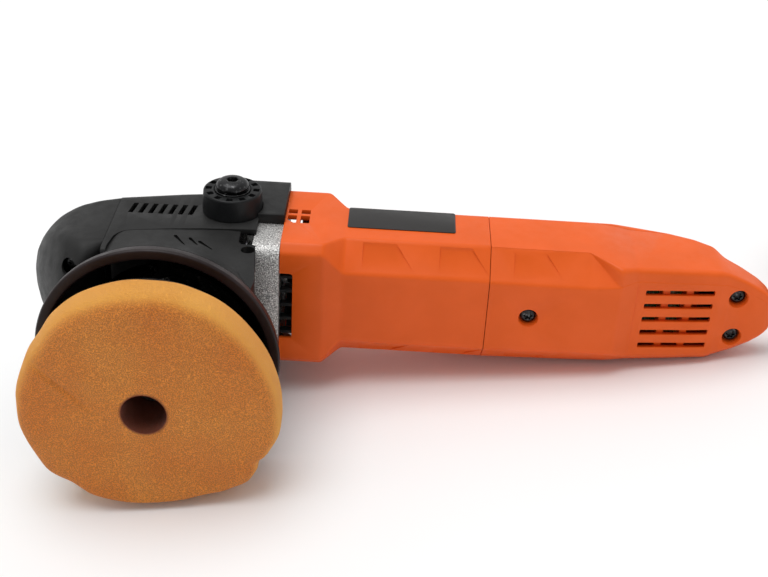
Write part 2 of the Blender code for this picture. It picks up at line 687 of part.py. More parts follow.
HANDLE_SCREWS = ((207.0, 0.5, -34.5), (331.0, 13.5, -20.2), (331.5, -13.0, -20.2))


def handle_shell(name, parent):
    shell = loft(name, [section(*s) for s in HANDLE_STATIONS], ORANGE, parent)
    inside = [section(*s, WALL) for s in HANDLE_STATIONS[:-2]]
    for p in inside[0]:
        p.x -= 1.0
    cut(shell, loft(f"{name}_room", inside, ORANGE, parent))
    return shell


def rear_handle(parent):
    lower = handle_shell("rear_handle_lower", parent)
    keep_out = 120.0
    cut(lower, block("above_split", (150.0, SPLIT_Y, -keep_out), (400.0, keep_out, keep_out), ORANGE, parent))
    bosses = [turned_piece("Y", ((y + 2.0, 7.6), (y + 15.0, 7.6)), (x, 0, z), 12) for x, z, y in HANDLE_SCREWS]
    fuse(lower, group("screw_bosses", bosses, parent))
    cuts = [
        turned_piece("Y", ((y - 3.0, 5.5), (y + 5.0, 5.5), (y + 5.0, 2.3), (y + 18.0, 2.3)), (x, 0, z), 12)
        for x, z, y in HANDLE_SCREWS
    ]
    for i in range(5):
        z = 18.0 - 9.0 * i
        cuts.append(box_piece((276.0, -34.0, z - 1.7), (316.5, -15.5, z + 1.7)))
    outlet = Vector(CORD_EXIT)
    cuts.append(turned_piece("X", ((334.0, 5.3), (360.0, 5.3)), (0, outlet.y, outlet.z), 12))
    cut(lower, group("lower_handle_cuts", cuts, parent))

    upper = handle_shell("rear_handle_upper", parent)
    high = (400.0, SPLIT_Y + GAP, keep_out)
    cut(upper, block("below_split", (150.0, -keep_out, -keep_out), high, ORANGE, parent))
    slider_slot = box_piece((199.0, 28.0, -6.0), (231.0, 40.0, 6.0))
    dial_slot = box_piece((276.0, 20.0, -4.3), (300.0, 40.0, 4.3))
    cut(upper, group("upper_handle_cuts", [slider_slot, dial_slot], parent))

    for i, (x, z, y) in enumerate(HANDLE_SCREWS, 1):
        profile = (
            (y + 16.0, 2.0), (y + 4.7, 2.0), (y + 4.7, 4.8), (y + 2.6, 4.6), (y + 2.6, 2.4), (y + 3.8, 2.2),
        )
        turned(f"handle_screw_{i}", "Y", profile, DARK_STEEL, parent, (x, 0, z), 12, bored=False)


def switch_and_speed(parent, slider, dial):
    block("switch_body", (200.0, 2.0, -9.0), (236.0, 24.0, 9.0), BLACK_PLASTIC, parent)
    thumb = (
        (203.0, 30.4), (227.0, 30.4), (227.0, 36.0), (222.0, 39.0), (216.0, 37.2), (210.0, 39.0), (203.0, 36.0),
    )
    prism("switch_slider", "Z", thumb, -5.2, 5.2, BLACK_PLASTIC, slider)
    block("speed_controller", (262.0, -8.0, -20.0), (300.0, 6.0, 20.0), BOARD, parent)
    radius, ridge, points = 11.0, 0.5, 36
    ridged = []
    for i in range(points):
        reach = radius - ridge * (i % 2)
        ridged.append((288.0 + reach * cos(2 * pi * i / points), 19.5 + reach * sin(2 * pi * i / points)))
    prism("speed_dial", "Z", ridged, -3.6, 3.6, BLACK_PLASTIC, dial)


def label_plate(parent):
    low, high = (98.0, -6.0), (162.0, 18.5)
    corner = 1.5
    left, right, bottom, top = low[0] + corner, high[0] - corner, low[1] + corner, high[1] - corner
    centres = ((right, top, 0), (left, top, 90), (left, bottom, 180), (right, bottom, 270))
    outline = [(x + u, y + v) for x, y, start in centres for u, v in arc(corner, start, start + 90, 2)]
    prism("label_plate", "Z", outline, 38.4 + GAP, 39.3, LABEL, parent)


# The cord's routes, in millimetres: over the surface from the strain relief's tip, and the height above it.
LEAD_ROUTE = (
    (0.3, 0.0, 22.5), (8.0, 0.0, 21.6), (16.0, 0.0, 19.7), (24.0, 0.6, 17.0), (32.0, 1.5, 13.6),
    (40.0, 2.9, 10.1), (48.0, 4.8, 7.0), (56.0, 7.2, 4.9), (64.0, 10.2, 3.9), (72.0, 13.6, 3.7),
    (80.0, 17.6, 3.7), (94.0, 27.5, 3.7), (105.5, 41.0, 3.7), (112.5, 56.0, 3.7), (114.5, 70.0, 3.7),
)
# The end that lies on the coil, from the coil's centre.
TAIL_ROUTE = (
    (-54.3, 2.0, 32.4), (-53.6, -6.0, 33.5), (-50.8, -14.5, 34.9), (-45.3, -22.0, 36.4), (-37.8, -28.0, 37.8),
    (-29.0, -31.2, 38.9), (-20.0, -32.0, 39.6), (-14.0, -32.0, 39.9),
)
PLUG_PLACE = (-13.7, -32.0, 39.9)


def smooth_route(route, spacing=12.0):
    """Points at even spacing along a smooth curve through the route's own points."""
    points = [Vector(p) for p in route]
    ends = [points[0] * 2 - points[1]] + points + [points[-1] * 2 - points[-2]]
    fine = []
    for i in range(1, len(ends) - 2):
        before, here, there, after = ends[i - 1:i + 3]
        for step in range(16):
            t = step / 16
            fine.append(
                0.5 * (
                    2 * here + (there - before) * t
                    + (2 * before - 5 * here + 4 * there - after) * t * t
                    + (3 * here - before - 3 * there + after) * t ** 3
                )
            )
    fine.append(points[-1])
    total = sum((b - a).length for a, b in zip(fine, fine[1:]))
    count = max(4, round(total / spacing))
    picked, travelled, wanted = [fine[0]], 0.0, total / count
    for a, b in zip(fine, fine[1:]):
        travelled += (b - a).length
        if travelled >= wanted * len(picked) - 1e-6:
            picked.append(b)
    picked[-1] = fine[-1]
    return picked


def cord_tube(name, route, parent):
    curve = bpy.data.curves.new(name, "CURVE")
    curve.dimensions = "3D"
    curve.bevel_depth = CORD_RADIUS * MM
    curve.bevel_resolution = 3
    curve.use_fill_caps = True
    spline = curve.splines.new("POLY")
    points = smooth_route(route)
    spline.points.add(len(points) - 1)
    for made, point in zip(spline.points, points):
        made.co = (*(point * MM), 1)
    curve.materials.append(material(CORD))
    tube_object = bpy.data.objects.new(name, curve)
    tube_object.parent = parent
    bpy.context.scene.collection.objects.link(tube_object)


def cord_parts(tool, surface, coil):
    """The strain relief and clamp on the handle, and the loose cord, which lies on the surface."""
    x, y, z = CORD_EXIT
    relief = ((x - 18.0, 4.8), (x + GAP, 4.8), (x + GAP, 6.8), (x + 5.0, 6.8), (RELIEF_TIP_X, 4.7))
    turned("strain_relief", "X", relief, CORD, tool, (0, y, z), 16, bored=False)
    block("cord_clamp", (312.0, -10.0, -9.0), (320.0, -4.0, 9.0), BLACK_PLASTIC, tool)
    cord_tube("cord_lead", LEAD_ROUTE, surface)
    cord_tube("cord_tail", TAIL_ROUTE, coil)
    edge = 3.0
    ring = (
        (GAP, COIL_OUTER - edge), (edge, COIL_OUTER), (COIL_HEIGHT - edge, COIL_OUTER),
        (COIL_HEIGHT, COIL_OUTER - edge), (COIL_HEIGHT, COIL_INNER), (GAP, COIL_INNER),
    )
    turned("cord_coil", "Z", ring, CORD, coil, segments=36)
    plug(coil)


def plug(coil):
    """A flat two-pin mains plug, its pins moulded in."""
    x, y, z = PLUG_PLACE
    stations = ((0.0, 5.0, 5.0), (13.0, 6.2, 6.2), (17.0, 15.0, 8.5), (26.0, 18.0, 10.8), (43.0, 17.0, 10.8))
    angles = [2 * pi * i / 16 for i in range(16)]
    rings = [
        [Vector((x + along, y + wide * cos(a), z + thick * sin(a))) for a in angles]
        for along, wide, thick in stations
    ]
    body = loft("plug", rings, BLACK_PLASTIC, coil)
    pin = ((x + 40.0, 2.4), (x + 62.0, 2.4))
    pins = [turned_piece("X", pin, (0, y + side * 9.3, z), 10) for side in (-1, 1)]
    fuse(body, group("plug_pins", pins, coil))


# --- resting pose ------------------------------------------------------------------------------


def rest_plane():
    """The surface that the tool lies on, as (a, b, c) of Z = a X + b Y + c in the tool's frame.

    It touches the backing plate's round edge, the crown of the right side bolt and a corner of the rear
    handle. The first two are round, so their low points move with the slope, and a few rounds settle it.
    """
    crown_radius = 4.2
    tail_x, tail_y, tail_z = TAIL_REST
    a, b, c = 0.1, 0.0, -PLATE_RADIUS
    for _ in range(8):
        plate_low = -ORBIT_RADIUS - PLATE_RADIUS * sqrt(1 + a * a)
        bolt_low = -BOLT_TOP_Z - crown_radius * hypot(a, b)
        b = (bolt_low - a * BOSS_X - plate_low) / -PLATE_REST_Y
        c = bolt_low - a * BOSS_X
        a = (tail_z - b * tail_y - c) / tail_x
    return a, b, c


def rest_turn():
    """The turn that brings the surface under the tool level, with the tool's length along X."""
    a, b, _ = rest_plane()
    up = Vector((-a, -b, 1)).normalized()
    along = (Vector((1, 0, 0)) - up * up.x).normalized()
    return Matrix((along, up.cross(along), up))


def stand_at_origin(roots):
    """Moves everything so that the tool without its cord stands on Z = 0, centred on the origin."""
    bpy.context.view_layer.update()
    graph = bpy.context.evaluated_depsgraph_get()
    loose = ("cord_lead", "cord_tail", "cord_coil", "plug")
    low, high = Vector((1e9, 1e9, 1e9)), Vector((-1e9, -1e9, -1e9))
    for made in bpy.context.scene.objects:
        if made.type != "MESH" or made.hide_render or made.name in loose:
            continue
        shaped = made.evaluated_get(graph)
        mesh = shaped.to_mesh()
        for vertex in mesh.vertices:
            place = made.matrix_world @ vertex.co
            low = Vector(map(min, low, place))
            high = Vector(map(max, high, place))
        shaped.to_mesh_clear()
    shift = Vector(((low.x + high.x) / 2, (low.y + high.y) / 2, low.z))
    for root in roots:
        root.location -= shift


def main():
    for old in list(bpy.data.objects):
        bpy.data.objects.remove(old)
    tool = empty("polisher", (0, 0, 0))
    spindle = empty("spindle_axis", (0, 0, 0), tool)
    pad = empty("pad_axis", (0, 0, -ORBIT_RADIUS), spindle)
    armature = empty("armature_axis", (61, 0, 0), tool)
    slider = empty("switch_axis", (215, 34, 0), tool)
    dial = empty("dial_axis", (288, 19.5, 0), tool)

    gear_case(tool)
    bearing_retainer(tool)
    lower_gear_case(tool)
    shroud_rim(tool)
    head_cover(tool)
    nose_cover(tool)
    side_boss(1, "left", tool)
    side_boss(-1, "right", tool)
    head_screws(tool)
    spindle_parts(spindle)
    counterweight(spindle)
    pad_parts(spindle, pad)
    motor_housing(tool)
    fan_baffle(tool)
    stator(tool)
    armature_parts(armature)
    brush_gear(tool)
    rear_handle(tool)
    switch_and_speed(tool, slider, dial)
    label_plate(tool)

    turn = rest_turn()
    tool.rotation_euler = turn.to_euler()
    tip = turn @ Vector((RELIEF_TIP_X, CORD_EXIT[1], CORD_EXIT[2]))
    tip.z = (turn @ Vector((0, 0, rest_plane()[2]))).z
    surface = empty("surface_under_cord", tuple(tip), from_itself=True)
    coil = empty("coil_centre", tuple(tip + Vector((*COIL_CENTRE, 0))), from_itself=True)
    cord_parts(tool, surface, coil)
    stand_at_origin((tool, surface, coil))


main()
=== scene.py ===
# %% [markdown]
# # A corded car polisher, lying on its side
#
# This notebook gives a dual-action polisher its visible surface. The sizes, masses and joints come
# from a fixed frame of plain solids. Each cell below makes one piece or one finish around it: a moulded
# shell, a rubber cover, a foam pad, a cord. A piece rides on one body of the frame, so it moves with it.

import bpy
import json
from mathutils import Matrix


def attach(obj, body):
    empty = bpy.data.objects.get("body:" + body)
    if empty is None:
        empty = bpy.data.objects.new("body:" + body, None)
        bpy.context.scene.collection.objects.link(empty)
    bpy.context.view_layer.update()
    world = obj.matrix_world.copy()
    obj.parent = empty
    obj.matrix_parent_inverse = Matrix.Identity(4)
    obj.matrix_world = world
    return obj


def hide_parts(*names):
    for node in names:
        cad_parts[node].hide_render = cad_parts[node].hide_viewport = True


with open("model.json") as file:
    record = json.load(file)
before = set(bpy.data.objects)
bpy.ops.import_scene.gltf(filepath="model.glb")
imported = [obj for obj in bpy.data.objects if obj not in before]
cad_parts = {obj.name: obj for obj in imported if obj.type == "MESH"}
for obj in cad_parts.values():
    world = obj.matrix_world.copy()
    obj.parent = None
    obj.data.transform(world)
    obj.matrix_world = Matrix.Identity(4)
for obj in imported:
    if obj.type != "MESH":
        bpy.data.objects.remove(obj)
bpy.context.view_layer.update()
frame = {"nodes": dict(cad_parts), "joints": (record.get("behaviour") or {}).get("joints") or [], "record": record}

# %% [markdown]
# ## The tool's own frame
# The polisher lies tilted, on the edge of its pad plate, a side bolt and the end of its handle. It is far
# easier to model straight, so every cell works in the tool's own millimetres: X from the spindle to the
# tail, Y away from the pad, Z to the tool's left. Three joint axes give that frame, and one matrix then
# carries each finished mesh to its place.

# %% The matrix from the tool's millimetres to the world
import json
import math
from math import cos, pi, radians, sin

import bmesh
import bpy
from mathutils import Matrix, Vector, noise

joints = {joint["name"]: joint for joint in frame["joints"]}
axes = [Vector(joints[name]["axis"]) for name in ("armature_spin", "spindle_spin", "dial_turn")]
TURN = Matrix(axes).transposed()
ORIGIN = Vector(joints["spindle_spin"]["pos_m"])
TOOL = Matrix.Translation(ORIGIN) @ TURN.to_4x4() @ Matrix.Scale(0.001, 4)
ORBIT = 1000 * (Vector(joints["pad_spin"]["pos_m"]) - ORIGIN).length
print("the pad's axis is", round(ORBIT, 2), "mm from the spindle's")

# %% [markdown]
# ## The camera
# The view is from a little above, with a moderately long lens. The camera is
# placed in the tool's frame: it looks along +Y, down at 31 degrees, and is rolled by 3 degrees.

# %% Place the camera
LENS, SENSOR = 62.12, 36.0
LOOK_DOWN, ROLL = radians(31.13), radians(3.33)
ahead = Vector((0, cos(LOOK_DOWN), -sin(LOOK_DOWN)))
level, rise = Vector((1, 0, 0)), Vector((0, sin(LOOK_DOWN), cos(LOOK_DOWN)))
right = level * cos(ROLL) + rise * sin(ROLL)
up = rise * cos(ROLL) - level * sin(ROLL)
camera = bpy.data.objects.new("camera", bpy.data.cameras.new("camera"))
camera.data.lens = LENS
camera.data.sensor_width = SENSOR
camera.location = TOOL @ Vector((121.6, -693.2, 412.9))
camera.rotation_euler = (TURN @ Matrix((right, up, -ahead)).transposed()).to_euler()
bpy.context.scene.collection.objects.link(camera)
bpy.context.scene.camera = camera
print("camera at", [round(v, 3) for v in camera.location])

# %% [markdown]
# ## Nodes for finishes
# A finish is a small network of shader nodes. Building it in Python is wordy, so `Paint` keeps the
# material, makes nodes in one line each, and gives two kinds of coordinates: the world's, in which a
# grain has no direction, and the tool's, in which brushed lines can run along the tool.

# %% A helper that builds finishes


class Paint:
    """One material, and short ways to add nodes to it."""

    def __init__(self, name, roughness, metallic=0.0, **settings):
        self.material = bpy.data.materials.new(name)
        self.material.use_nodes = True
        self.tree = self.material.node_tree
        self.shader = self.tree.nodes["Principled BSDF"]
        self.set("Roughness", roughness)
        self.set("Metallic", metallic)
        for socket, value in settings.items():
            self.set(socket.replace("_", " "), value)
        self.place = self.tree.nodes.new("ShaderNodeTexCoord").outputs["Object"]

    def set(self, socket, value):
        """Sets a socket of the surface shader to a constant, or joins another node's output to it."""
        self.join(value, self.shader.inputs[socket])

    def join(self, value, socket):
        if isinstance(value, bpy.types.NodeSocket):
            self.tree.links.new(value, socket)
        else:
            socket.default_value = value

    def node(self, kind, inputs, output=0, **settings):
        """Adds a node and returns one of its outputs."""
        made = self.tree.nodes.new("ShaderNode" + kind)
        for name, value in settings.items():
            setattr(made, name, value)
        for name, value in inputs.items():
            self.join(value, made.inputs[name])
        return made.outputs[output]

    def stretched(self, factors):
        """The place in the tool's frame, in metres, stretched along the tool's axes."""
        back = TURN.transposed()
        moved = self.node("Mapping", {
            "Vector": self.place, "Rotation": back.to_euler(), "Location": -(back @ ORIGIN),
        })
        return self.node("Mapping", {"Vector": moved, "Scale": factors})

    def noise(self, scale, detail=3.0, roughness=0.5, at=None):
        return self.node("TexNoise", {
            "Vector": at or self.place, "Scale": scale, "Detail": detail, "Roughness": roughness,
        })

    def ramp(self, value, low, high, start=0.0, end=1.0):
        """Stretches part of a value's range onto another range."""
        return self.node("MapRange", {
            "Value": value, "From Min": low, "From Max": high, "To Min": start, "To Max": end,
        })

    def blend(self, amount, a, b):
        """Mixes two colours."""
        made = self.tree.nodes.new("ShaderNodeMix")
        made.data_type = "RGBA"
        self.join(amount, made.inputs["Factor"])
        for socket, value in zip([s for s in made.inputs if s.type == "RGBA"], (a, b)):
            self.join(value, socket)
        return next(s for s in made.outputs if s.type == "RGBA")

    def sum(self, a, b, operation="ADD"):
        made = self.tree.nodes.new("ShaderNodeMath")
        made.operation = operation
        self.join(a, made.inputs[0])
        self.join(b, made.inputs[1])
        return made.outputs[0]

    def bump(self, height, depth, before=None):
        """Tilts the surface by a height pattern whose full range is depth metres."""
        inputs = {"Height": height, "Distance": depth, "Strength": 1.0}
        if before:
            inputs["Normal"] = before
        return self.node("Bump", inputs)


print("finishes are built with", Paint.__name__)

# %% [markdown]
# ## Moulded plastic and rubber
# The orange shells are glass-filled nylon from a spark-eroded mould: a very fine matte grain, colour that
# clouds a little, and pale rub marks where the tool has been put down. The head's covers are a harder
# black plastic with a rubbery grain and more scuffs. One function makes all of them.

# %% Moulded finishes


def moulded(name, colour, roughness, grain, scuff, cloud=0.08, level=0.5):
    """A moulded surface: grain is the depth of its texture in metres, scuff how many rub marks it has."""
    paint = Paint(name, roughness)
    paint.set("Specular IOR Level", level)
    dark = [c * (1 - 2 * cloud) for c in colour[:3]] + [1]
    pale = [min(1, c * (1 + cloud) + 0.004) for c in colour[:3]] + [1]
    clouds = paint.ramp(paint.noise(38, 4), 0.35, 0.65)
    base = paint.blend(clouds, dark, pale)
    # A rub mark is a thin streak: noise that is stretched along the tool, and only its peaks.
    streaks = paint.noise(1.0, 5, 0.62, paint.stretched((70, 420, 420)))
    patches = paint.ramp(paint.noise(24, 2), 0.5, 0.68)
    marks = paint.sum(paint.ramp(streaks, 0.68 - 0.08 * scuff, 0.8), patches, "MULTIPLY")
    worn = [c * 0.6 + 0.12 for c in colour[:3]] + [1]
    paint.set("Base Color", paint.blend(paint.sum(marks, 0.55 * scuff, "MULTIPLY"), base, worn))
    grains = paint.node("TexVoronoi", {"Vector": paint.place, "Scale": 1900})
    soft = paint.noise(160, 3)
    paint.set("Roughness", paint.ramp(soft, 0.3, 0.7, roughness - 0.06, roughness + 0.07))
    paint.set("Normal", paint.bump(soft, grain * 2.2, paint.bump(grains, grain)))
    return paint.material


orange = moulded("orange_plastic", (0.8, 0.112, 0.008, 1), 0.42, 0.00002, 0.1, cloud=0.02, level=0.25)
black_cover = moulded("black_cover_plastic", (0.015, 0.0148, 0.0145, 1), 0.47, 0.00004, 0.6, level=0.2)
black_plastic = moulded("black_plastic", (0.007, 0.0075, 0.008, 1), 0.4, 0.00002, 0.25, level=0.2)
shroud_rubber = moulded("shroud_rubber", (0.015, 0.0072, 0.0074, 1), 0.4, 0.00005, 0.45, level=0.25)
print("moulded finishes:", orange.name, black_cover.name, black_plastic.name, shroud_rubber.name)

# %% [markdown]
# ## Metals
# The gear case is cast aluminium, blasted with grit: a bright satin skin covered with tiny dark pits. The
# screws and the counterweight are oiled black steel, shafts and bearings are ground, and the stator is a
# stack of thin sheets whose edges show as lines across the tool's axis.

# %% Metal finishes


def cast_aluminium():
    paint = Paint("blasted_aluminium", 0.55, 0.8)
    pits = paint.ramp(paint.node("TexVoronoi", {"Vector": paint.place, "Scale": 1150}), 0.12, 0.42)
    sand = paint.ramp(paint.noise(1500, 2), 0.4, 0.62)
    speckle = paint.sum(pits, sand, "MULTIPLY")
    paint.set("Base Color", paint.blend(speckle, (0.25, 0.245, 0.24, 1), (0.9, 0.89, 0.87, 1)))
    paint.set("Roughness", paint.ramp(sand, 0, 1, 0.62, 0.5))
    cast = paint.bump(paint.noise(90, 3), 0.0002)
    paint.set("Normal", paint.bump(speckle, 0.00009, cast))
    return paint.material


def steel(name, colour, roughness, wear):
    """Steel with fine marks round and along its surface, and worn spots that show brighter."""
    paint = Paint(name, roughness, 1.0)
    marks = paint.noise(1.0, 4, 0.7, paint.stretched((1400, 260, 1400)))
    bright = [min(1, c + wear) for c in colour[:3]] + [1]
    worn = paint.ramp(paint.noise(420, 3), 0.56, 0.72)
    paint.set("Base Color", paint.blend(worn, colour, bright))
    paint.set("Roughness", paint.ramp(marks, 0.3, 0.7, roughness - 0.08, roughness + 0.1))
    paint.set("Normal", paint.bump(marks, 0.00001))
    return paint.material


def banded(name, low, high, per_metre, roughness, metallic, axis):
    """Fine bands across one of the tool's axes: the sheets of a stator, the wires of a winding."""
    paint = Paint(name, roughness, metallic)
    factors = [1.0 if k == axis else 0.0 for k in range(3)]
    bands = paint.node("TexWave", {
        "Vector": paint.stretched(factors), "Scale": per_metre / (2 * pi), "Distortion": 0.0,
        "Detail": 1.0,
    }, wave_type="BANDS", bands_direction="XYZ"[axis])
    uneven = paint.sum(bands, paint.sum(paint.noise(300, 3), 0.35, "MULTIPLY"), "ADD")
    paint.set("Base Color", paint.blend(paint.ramp(uneven, 0.2, 1.1), low, high))
    paint.set("Roughness", paint.ramp(paint.noise(500, 2), 0.3, 0.7, roughness - 0.05, roughness + 0.1))
    paint.set("Normal", paint.bump(bands, 0.00012))
    return paint.material


aluminium = cast_aluminium()
bright_steel = steel("ground_steel", (0.5, 0.5, 0.51, 1), 0.28, 0.15)
dark_steel = steel("oiled_black_steel", (0.035, 0.035, 0.036, 1), 0.32, 0.12)
lamination = banded("stator_sheets", (0.08, 0.08, 0.085, 1), (0.32, 0.32, 0.33, 1), 12000, 0.45, 0.9, 0)
copper = banded("enamelled_copper", (0.24, 0.06, 0.018, 1), (0.72, 0.3, 0.11, 1), 9000, 0.3, 0.85, 2)
print("metal finishes:", aluminium.name, bright_steel.name, dark_steel.name, lamination.name, copper.name)

# %% [markdown]
# ## Small finishes
# The rest is seen on little areas: carbon brushes, the loops of the pad's fastening, the cord's soft
# skin, the satin label film and the lacquered board of the speed control.

# %% Small finishes


def carbon_finish():
    paint = Paint("brush_carbon", 0.55, 0.1)
    spots = paint.ramp(paint.noise(1400, 4), 0.4, 0.65)
    paint.set("Base Color", paint.blend(spots, (0.018, 0.018, 0.02, 1), (0.07, 0.068, 0.07, 1)))
    paint.set("Normal", paint.bump(spots, 0.00003))
    return paint.material


def loop_finish():
    paint = Paint("fastening_loops", 0.95, Sheen_Weight=0.4, Sheen_Roughness=0.6)
    loops = paint.node("TexVoronoi", {"Vector": paint.place, "Scale": 1250}, feature="SMOOTH_F1")
    gaps = paint.ramp(loops, 0.1, 0.6)
    paint.set("Base Color", paint.blend(gaps, (0.12, 0.12, 0.125, 1), (0.02, 0.02, 0.022, 1)))
    paint.set("Normal", paint.bump(loops, 0.0004))
    return paint.material


def cord_finish():
    paint = Paint("cord_skin", 0.48, Specular_IOR_Level=0.4)
    dust = paint.ramp(paint.noise(130, 5, 0.6), 0.5, 0.75)
    paint.set("Base Color", paint.blend(dust, (0.016, 0.016, 0.017, 1), (0.05, 0.049, 0.048, 1)))
    paint.set("Roughness", paint.ramp(dust, 0, 1, 0.42, 0.62))
    paint.set("Normal", paint.bump(paint.noise(900, 2), 0.00003))
    return paint.material


def label_finish():
    paint = Paint("label_film", 0.4)
    paint.set("Specular IOR Level", 0.25)
    scratches = paint.noise(1.0, 6, 0.7, paint.stretched((60, 900, 900)))
    worn = paint.ramp(scratches, 0.66, 0.82, 0, 0.35)
    paint.set("Base Color", paint.blend(worn, (0.03, 0.028, 0.027, 1), (0.14, 0.13, 0.125, 1)))
    paint.set("Roughness", paint.ramp(paint.noise(180, 3), 0.3, 0.7, 0.28, 0.42))
    return paint.material


def board_finish():
    paint = Paint("lacquered_board", 0.3, Coat_Weight=0.5)
    tracks = paint.node("TexBrick", {
        "Vector": paint.stretched((1, 1, 1)), "Scale": 210.0, "Mortar Size": 0.06,
        "Color1": (0.008, 0.09, 0.03, 1), "Color2": (0.012, 0.13, 0.045, 1),
        "Mortar": (0.03, 0.26, 0.09, 1),
    })
    paint.set("Base Color", tracks)
    return paint.material


carbon, loops, cord_skin = carbon_finish(), loop_finish(), cord_finish()
label_film, board = label_finish(), board_finish()
print("small finishes:", carbon.name, loops.name, cord_skin.name, label_film.name, board.name)

# %% [markdown]
# ## Open-cell foam
# A polishing pad is cut from open-cell foam. Its skin is a net of cells about half a millimetre wide. On the flat
# face the cells are cut open, so it looks speckled; on the rim they are closed by heat. The face and its pores are
# painted darker than the rim. This is painted shade where the face turns away from the light, set against painted
# light on the rim. Two cell patterns make the speckle, and the distance from the face, along the pad's axis, says
# where the face ends and the rim begins. The wall of the middle hole is painted dark as painted shade.

# %% The foam's finish
PAD_FACE_Y, PAD_BACK_Y, PAD_RADIUS, PAD_HOLE = -137.0, -109.2, 70.0, 12.0


def foam_finish():
    paint = Paint("open_cell_foam", 0.92, Subsurface_Weight=0.0, Sheen_Weight=0.08)
    paint.set("Sheen Roughness", 0.5)
    cells = paint.node("TexVoronoi", {"Vector": paint.place, "Scale": 1900})
    coarse = paint.noise(1500, 3, 0.6)
    pores = paint.sum(paint.ramp(cells, 0.1, 0.5), paint.ramp(coarse, 0.42, 0.56), "MULTIPLY")
    along = paint.node("SeparateXYZ", {"Vector": paint.stretched((1, 1, 1))}, output=1)
    face = paint.ramp(along, -0.1322, -0.1362)
    blotch = paint.ramp(paint.noise(26, 3), 0.36, 0.66)
    # Painted light and shade: the rim is painted paler as the lit side, and the face and its pore colour darker as
    # shade where the face turns from the light.
    lit_rim_colour = paint.blend(blotch, (0.92, 0.39, 0.055, 1), (0.97, 0.45, 0.07, 1))
    shaded_face_colour = paint.blend(blotch, (0.86, 0.26, 0.028, 1), (0.92, 0.33, 0.045, 1))
    skin = paint.blend(face, lit_rim_colour, shaded_face_colour)
    hole_colour = paint.blend(face, (0.6, 0.22, 0.05, 1), (0.3, 0.085, 0.018, 1))
    speckle = paint.sum(paint.ramp(pores, 0.05, 0.6, 1, 0), paint.ramp(face, 0, 1, 0.1, 0.62), "MULTIPLY")
    spotted = paint.blend(speckle, skin, hole_colour)
    # Painted shade: the wall of the middle hole is painted a deep dark red, standing in for the shade that falls
    # inside the hole.
    hole_shade = paint.node("Attribute", {}, output="Fac", attribute_name="in_hole")
    paint.set("Base Color", paint.blend(hole_shade, spotted, (0.2, 0.035, 0.006, 1)))
    paint.set("Normal", paint.bump(pores, 0.00035, paint.bump(paint.noise(70, 3), 0.0008)))
    return paint.material


foam = foam_finish()
print("foam finish:", foam.name)

# %% [markdown]
# ## The cord's route
# A rubber cord keeps its length and won't bend tighter than about four diameters, so it is drawn as one line of
# 4.0 m. It leaves the strain relief, sinks to the surface, and winds into a neat coil of four layers, each a
# spiral that lies a diameter above the last. Its last half metre lies over the coil and ends in the plug. The
# loose stretches are a few given points, joined by a smooth curve; the coil is a loop, whose inner radius is tuned
# until the whole length comes out right.

# %% Lay the cord
CORD_RADIUS, CORD_LENGTH = 0.0035, 4.0
RELIEF_START, RELIEF_TIP = (356.5, -11.0, 0.0), (394.0, -11.0, 0.0)
COIL_FROM_TIP = Vector((0.049, 0.077, 0.0))
LEAD = (
    (0.3, 0.0, 22.5), (8.0, 0.0, 21.6), (16.0, 0.0, 19.7), (24.0, 0.6, 17.0), (32.0, 1.5, 13.6),
    (40.0, 2.9, 10.1), (48.0, 4.8, 7.0), (56.0, 7.2, 4.9), (64.0, 10.2, 3.9), (72.0, 13.6, 3.7),
    (80.0, 17.6, 3.7), (94.0, 27.5, 3.7), (105.5, 41.0, 3.7), (112.5, 56.0, 3.7), (114.5, 70.0, 3.7),
)
TAIL = (
    (-54.3, 2.0, 32.4), (-53.6, -6.0, 33.5), (-50.8, -14.5, 34.9), (-45.3, -22.0, 36.4),
    (-37.8, -28.0, 37.8), (-29.0, -31.2, 38.9), (-20.0, -32.0, 39.6), (-14.0, -32.0, 39.9),
)
tip = TOOL @ Vector(RELIEF_TIP)
tip_below = Vector((tip.x, tip.y, 0.0))
coil_centre = tip_below + COIL_FROM_TIP


def smooth_route(points, steps=6):
    """A smooth curve through points, a few steps between each two."""
    ends = [points[0] * 2 - points[1], *points, points[-1] * 2 - points[-2]]
    route = []
    for before, here, there, after in zip(ends, ends[1:], ends[2:], ends[3:]):
        for step in range(steps):
            t = step / steps
            bend = (2 * before - 5 * here + 4 * there - after) * t
            bend += (3 * here - before - 3 * there + after) * t * t
            route.append(0.5 * (2 * here + (there - before + bend) * t))
    return route + [points[-1]]


def coil_turns(inner, layers=4, first=70, last=4860, step=10):
    """The coil's points about its centre: a spiral in, one out above it, and so on, with a rise between."""
    outer, lift = 0.0552, 2 * CORD_RADIUS
    turns = []
    for angle in range(first, last, step):
        share = (angle - first) / (last - first) * layers
        layer, part = divmod(share, 1)
        inwards = part if layer % 2 == 0 else 1 - part
        climb = max(0.0, (part - 0.94) / 0.06)
        climb = climb * climb * (3 - 2 * climb)
        height = 0.0037 + lift * (layer + climb * (1.0 if layer < layers - 1 else 1.1))
        radius = outer + (inner - outer) * inwards
        turns.append(Vector((radius * cos(radians(angle)), radius * sin(radians(angle)), height)))
    return turns


def whole_route(inner):
    lead = [tip_below + Vector(p) * 0.001 for p in LEAD]
    turns = [coil_centre + p for p in coil_turns(inner)]
    join_from, join_to = lead[-1] - coil_centre, turns[0] - coil_centre
    a, b = math.atan2(join_from.y, join_from.x), math.atan2(join_to.y, join_to.x)
    join = []
    for k in range(1, 4):
        t = k / 4
        eased = t * t * (3 - 2 * t)
        reach = join_from.xy.length * (1 - eased) + join_to.xy.length * eased
        angle = a + (b - a) * t
        join.append(coil_centre + Vector((reach * cos(angle), reach * sin(angle), 0.0037)))
    tail = [coil_centre + Vector(p) * 0.001 for p in TAIL]
    return smooth_route([tip + Vector((0.0002, 0, 0)), *lead[1:], *join, *turns, *tail], 2)


def length_of(route):
    return sum((b - a).length for a, b in zip(route, route[1:]))


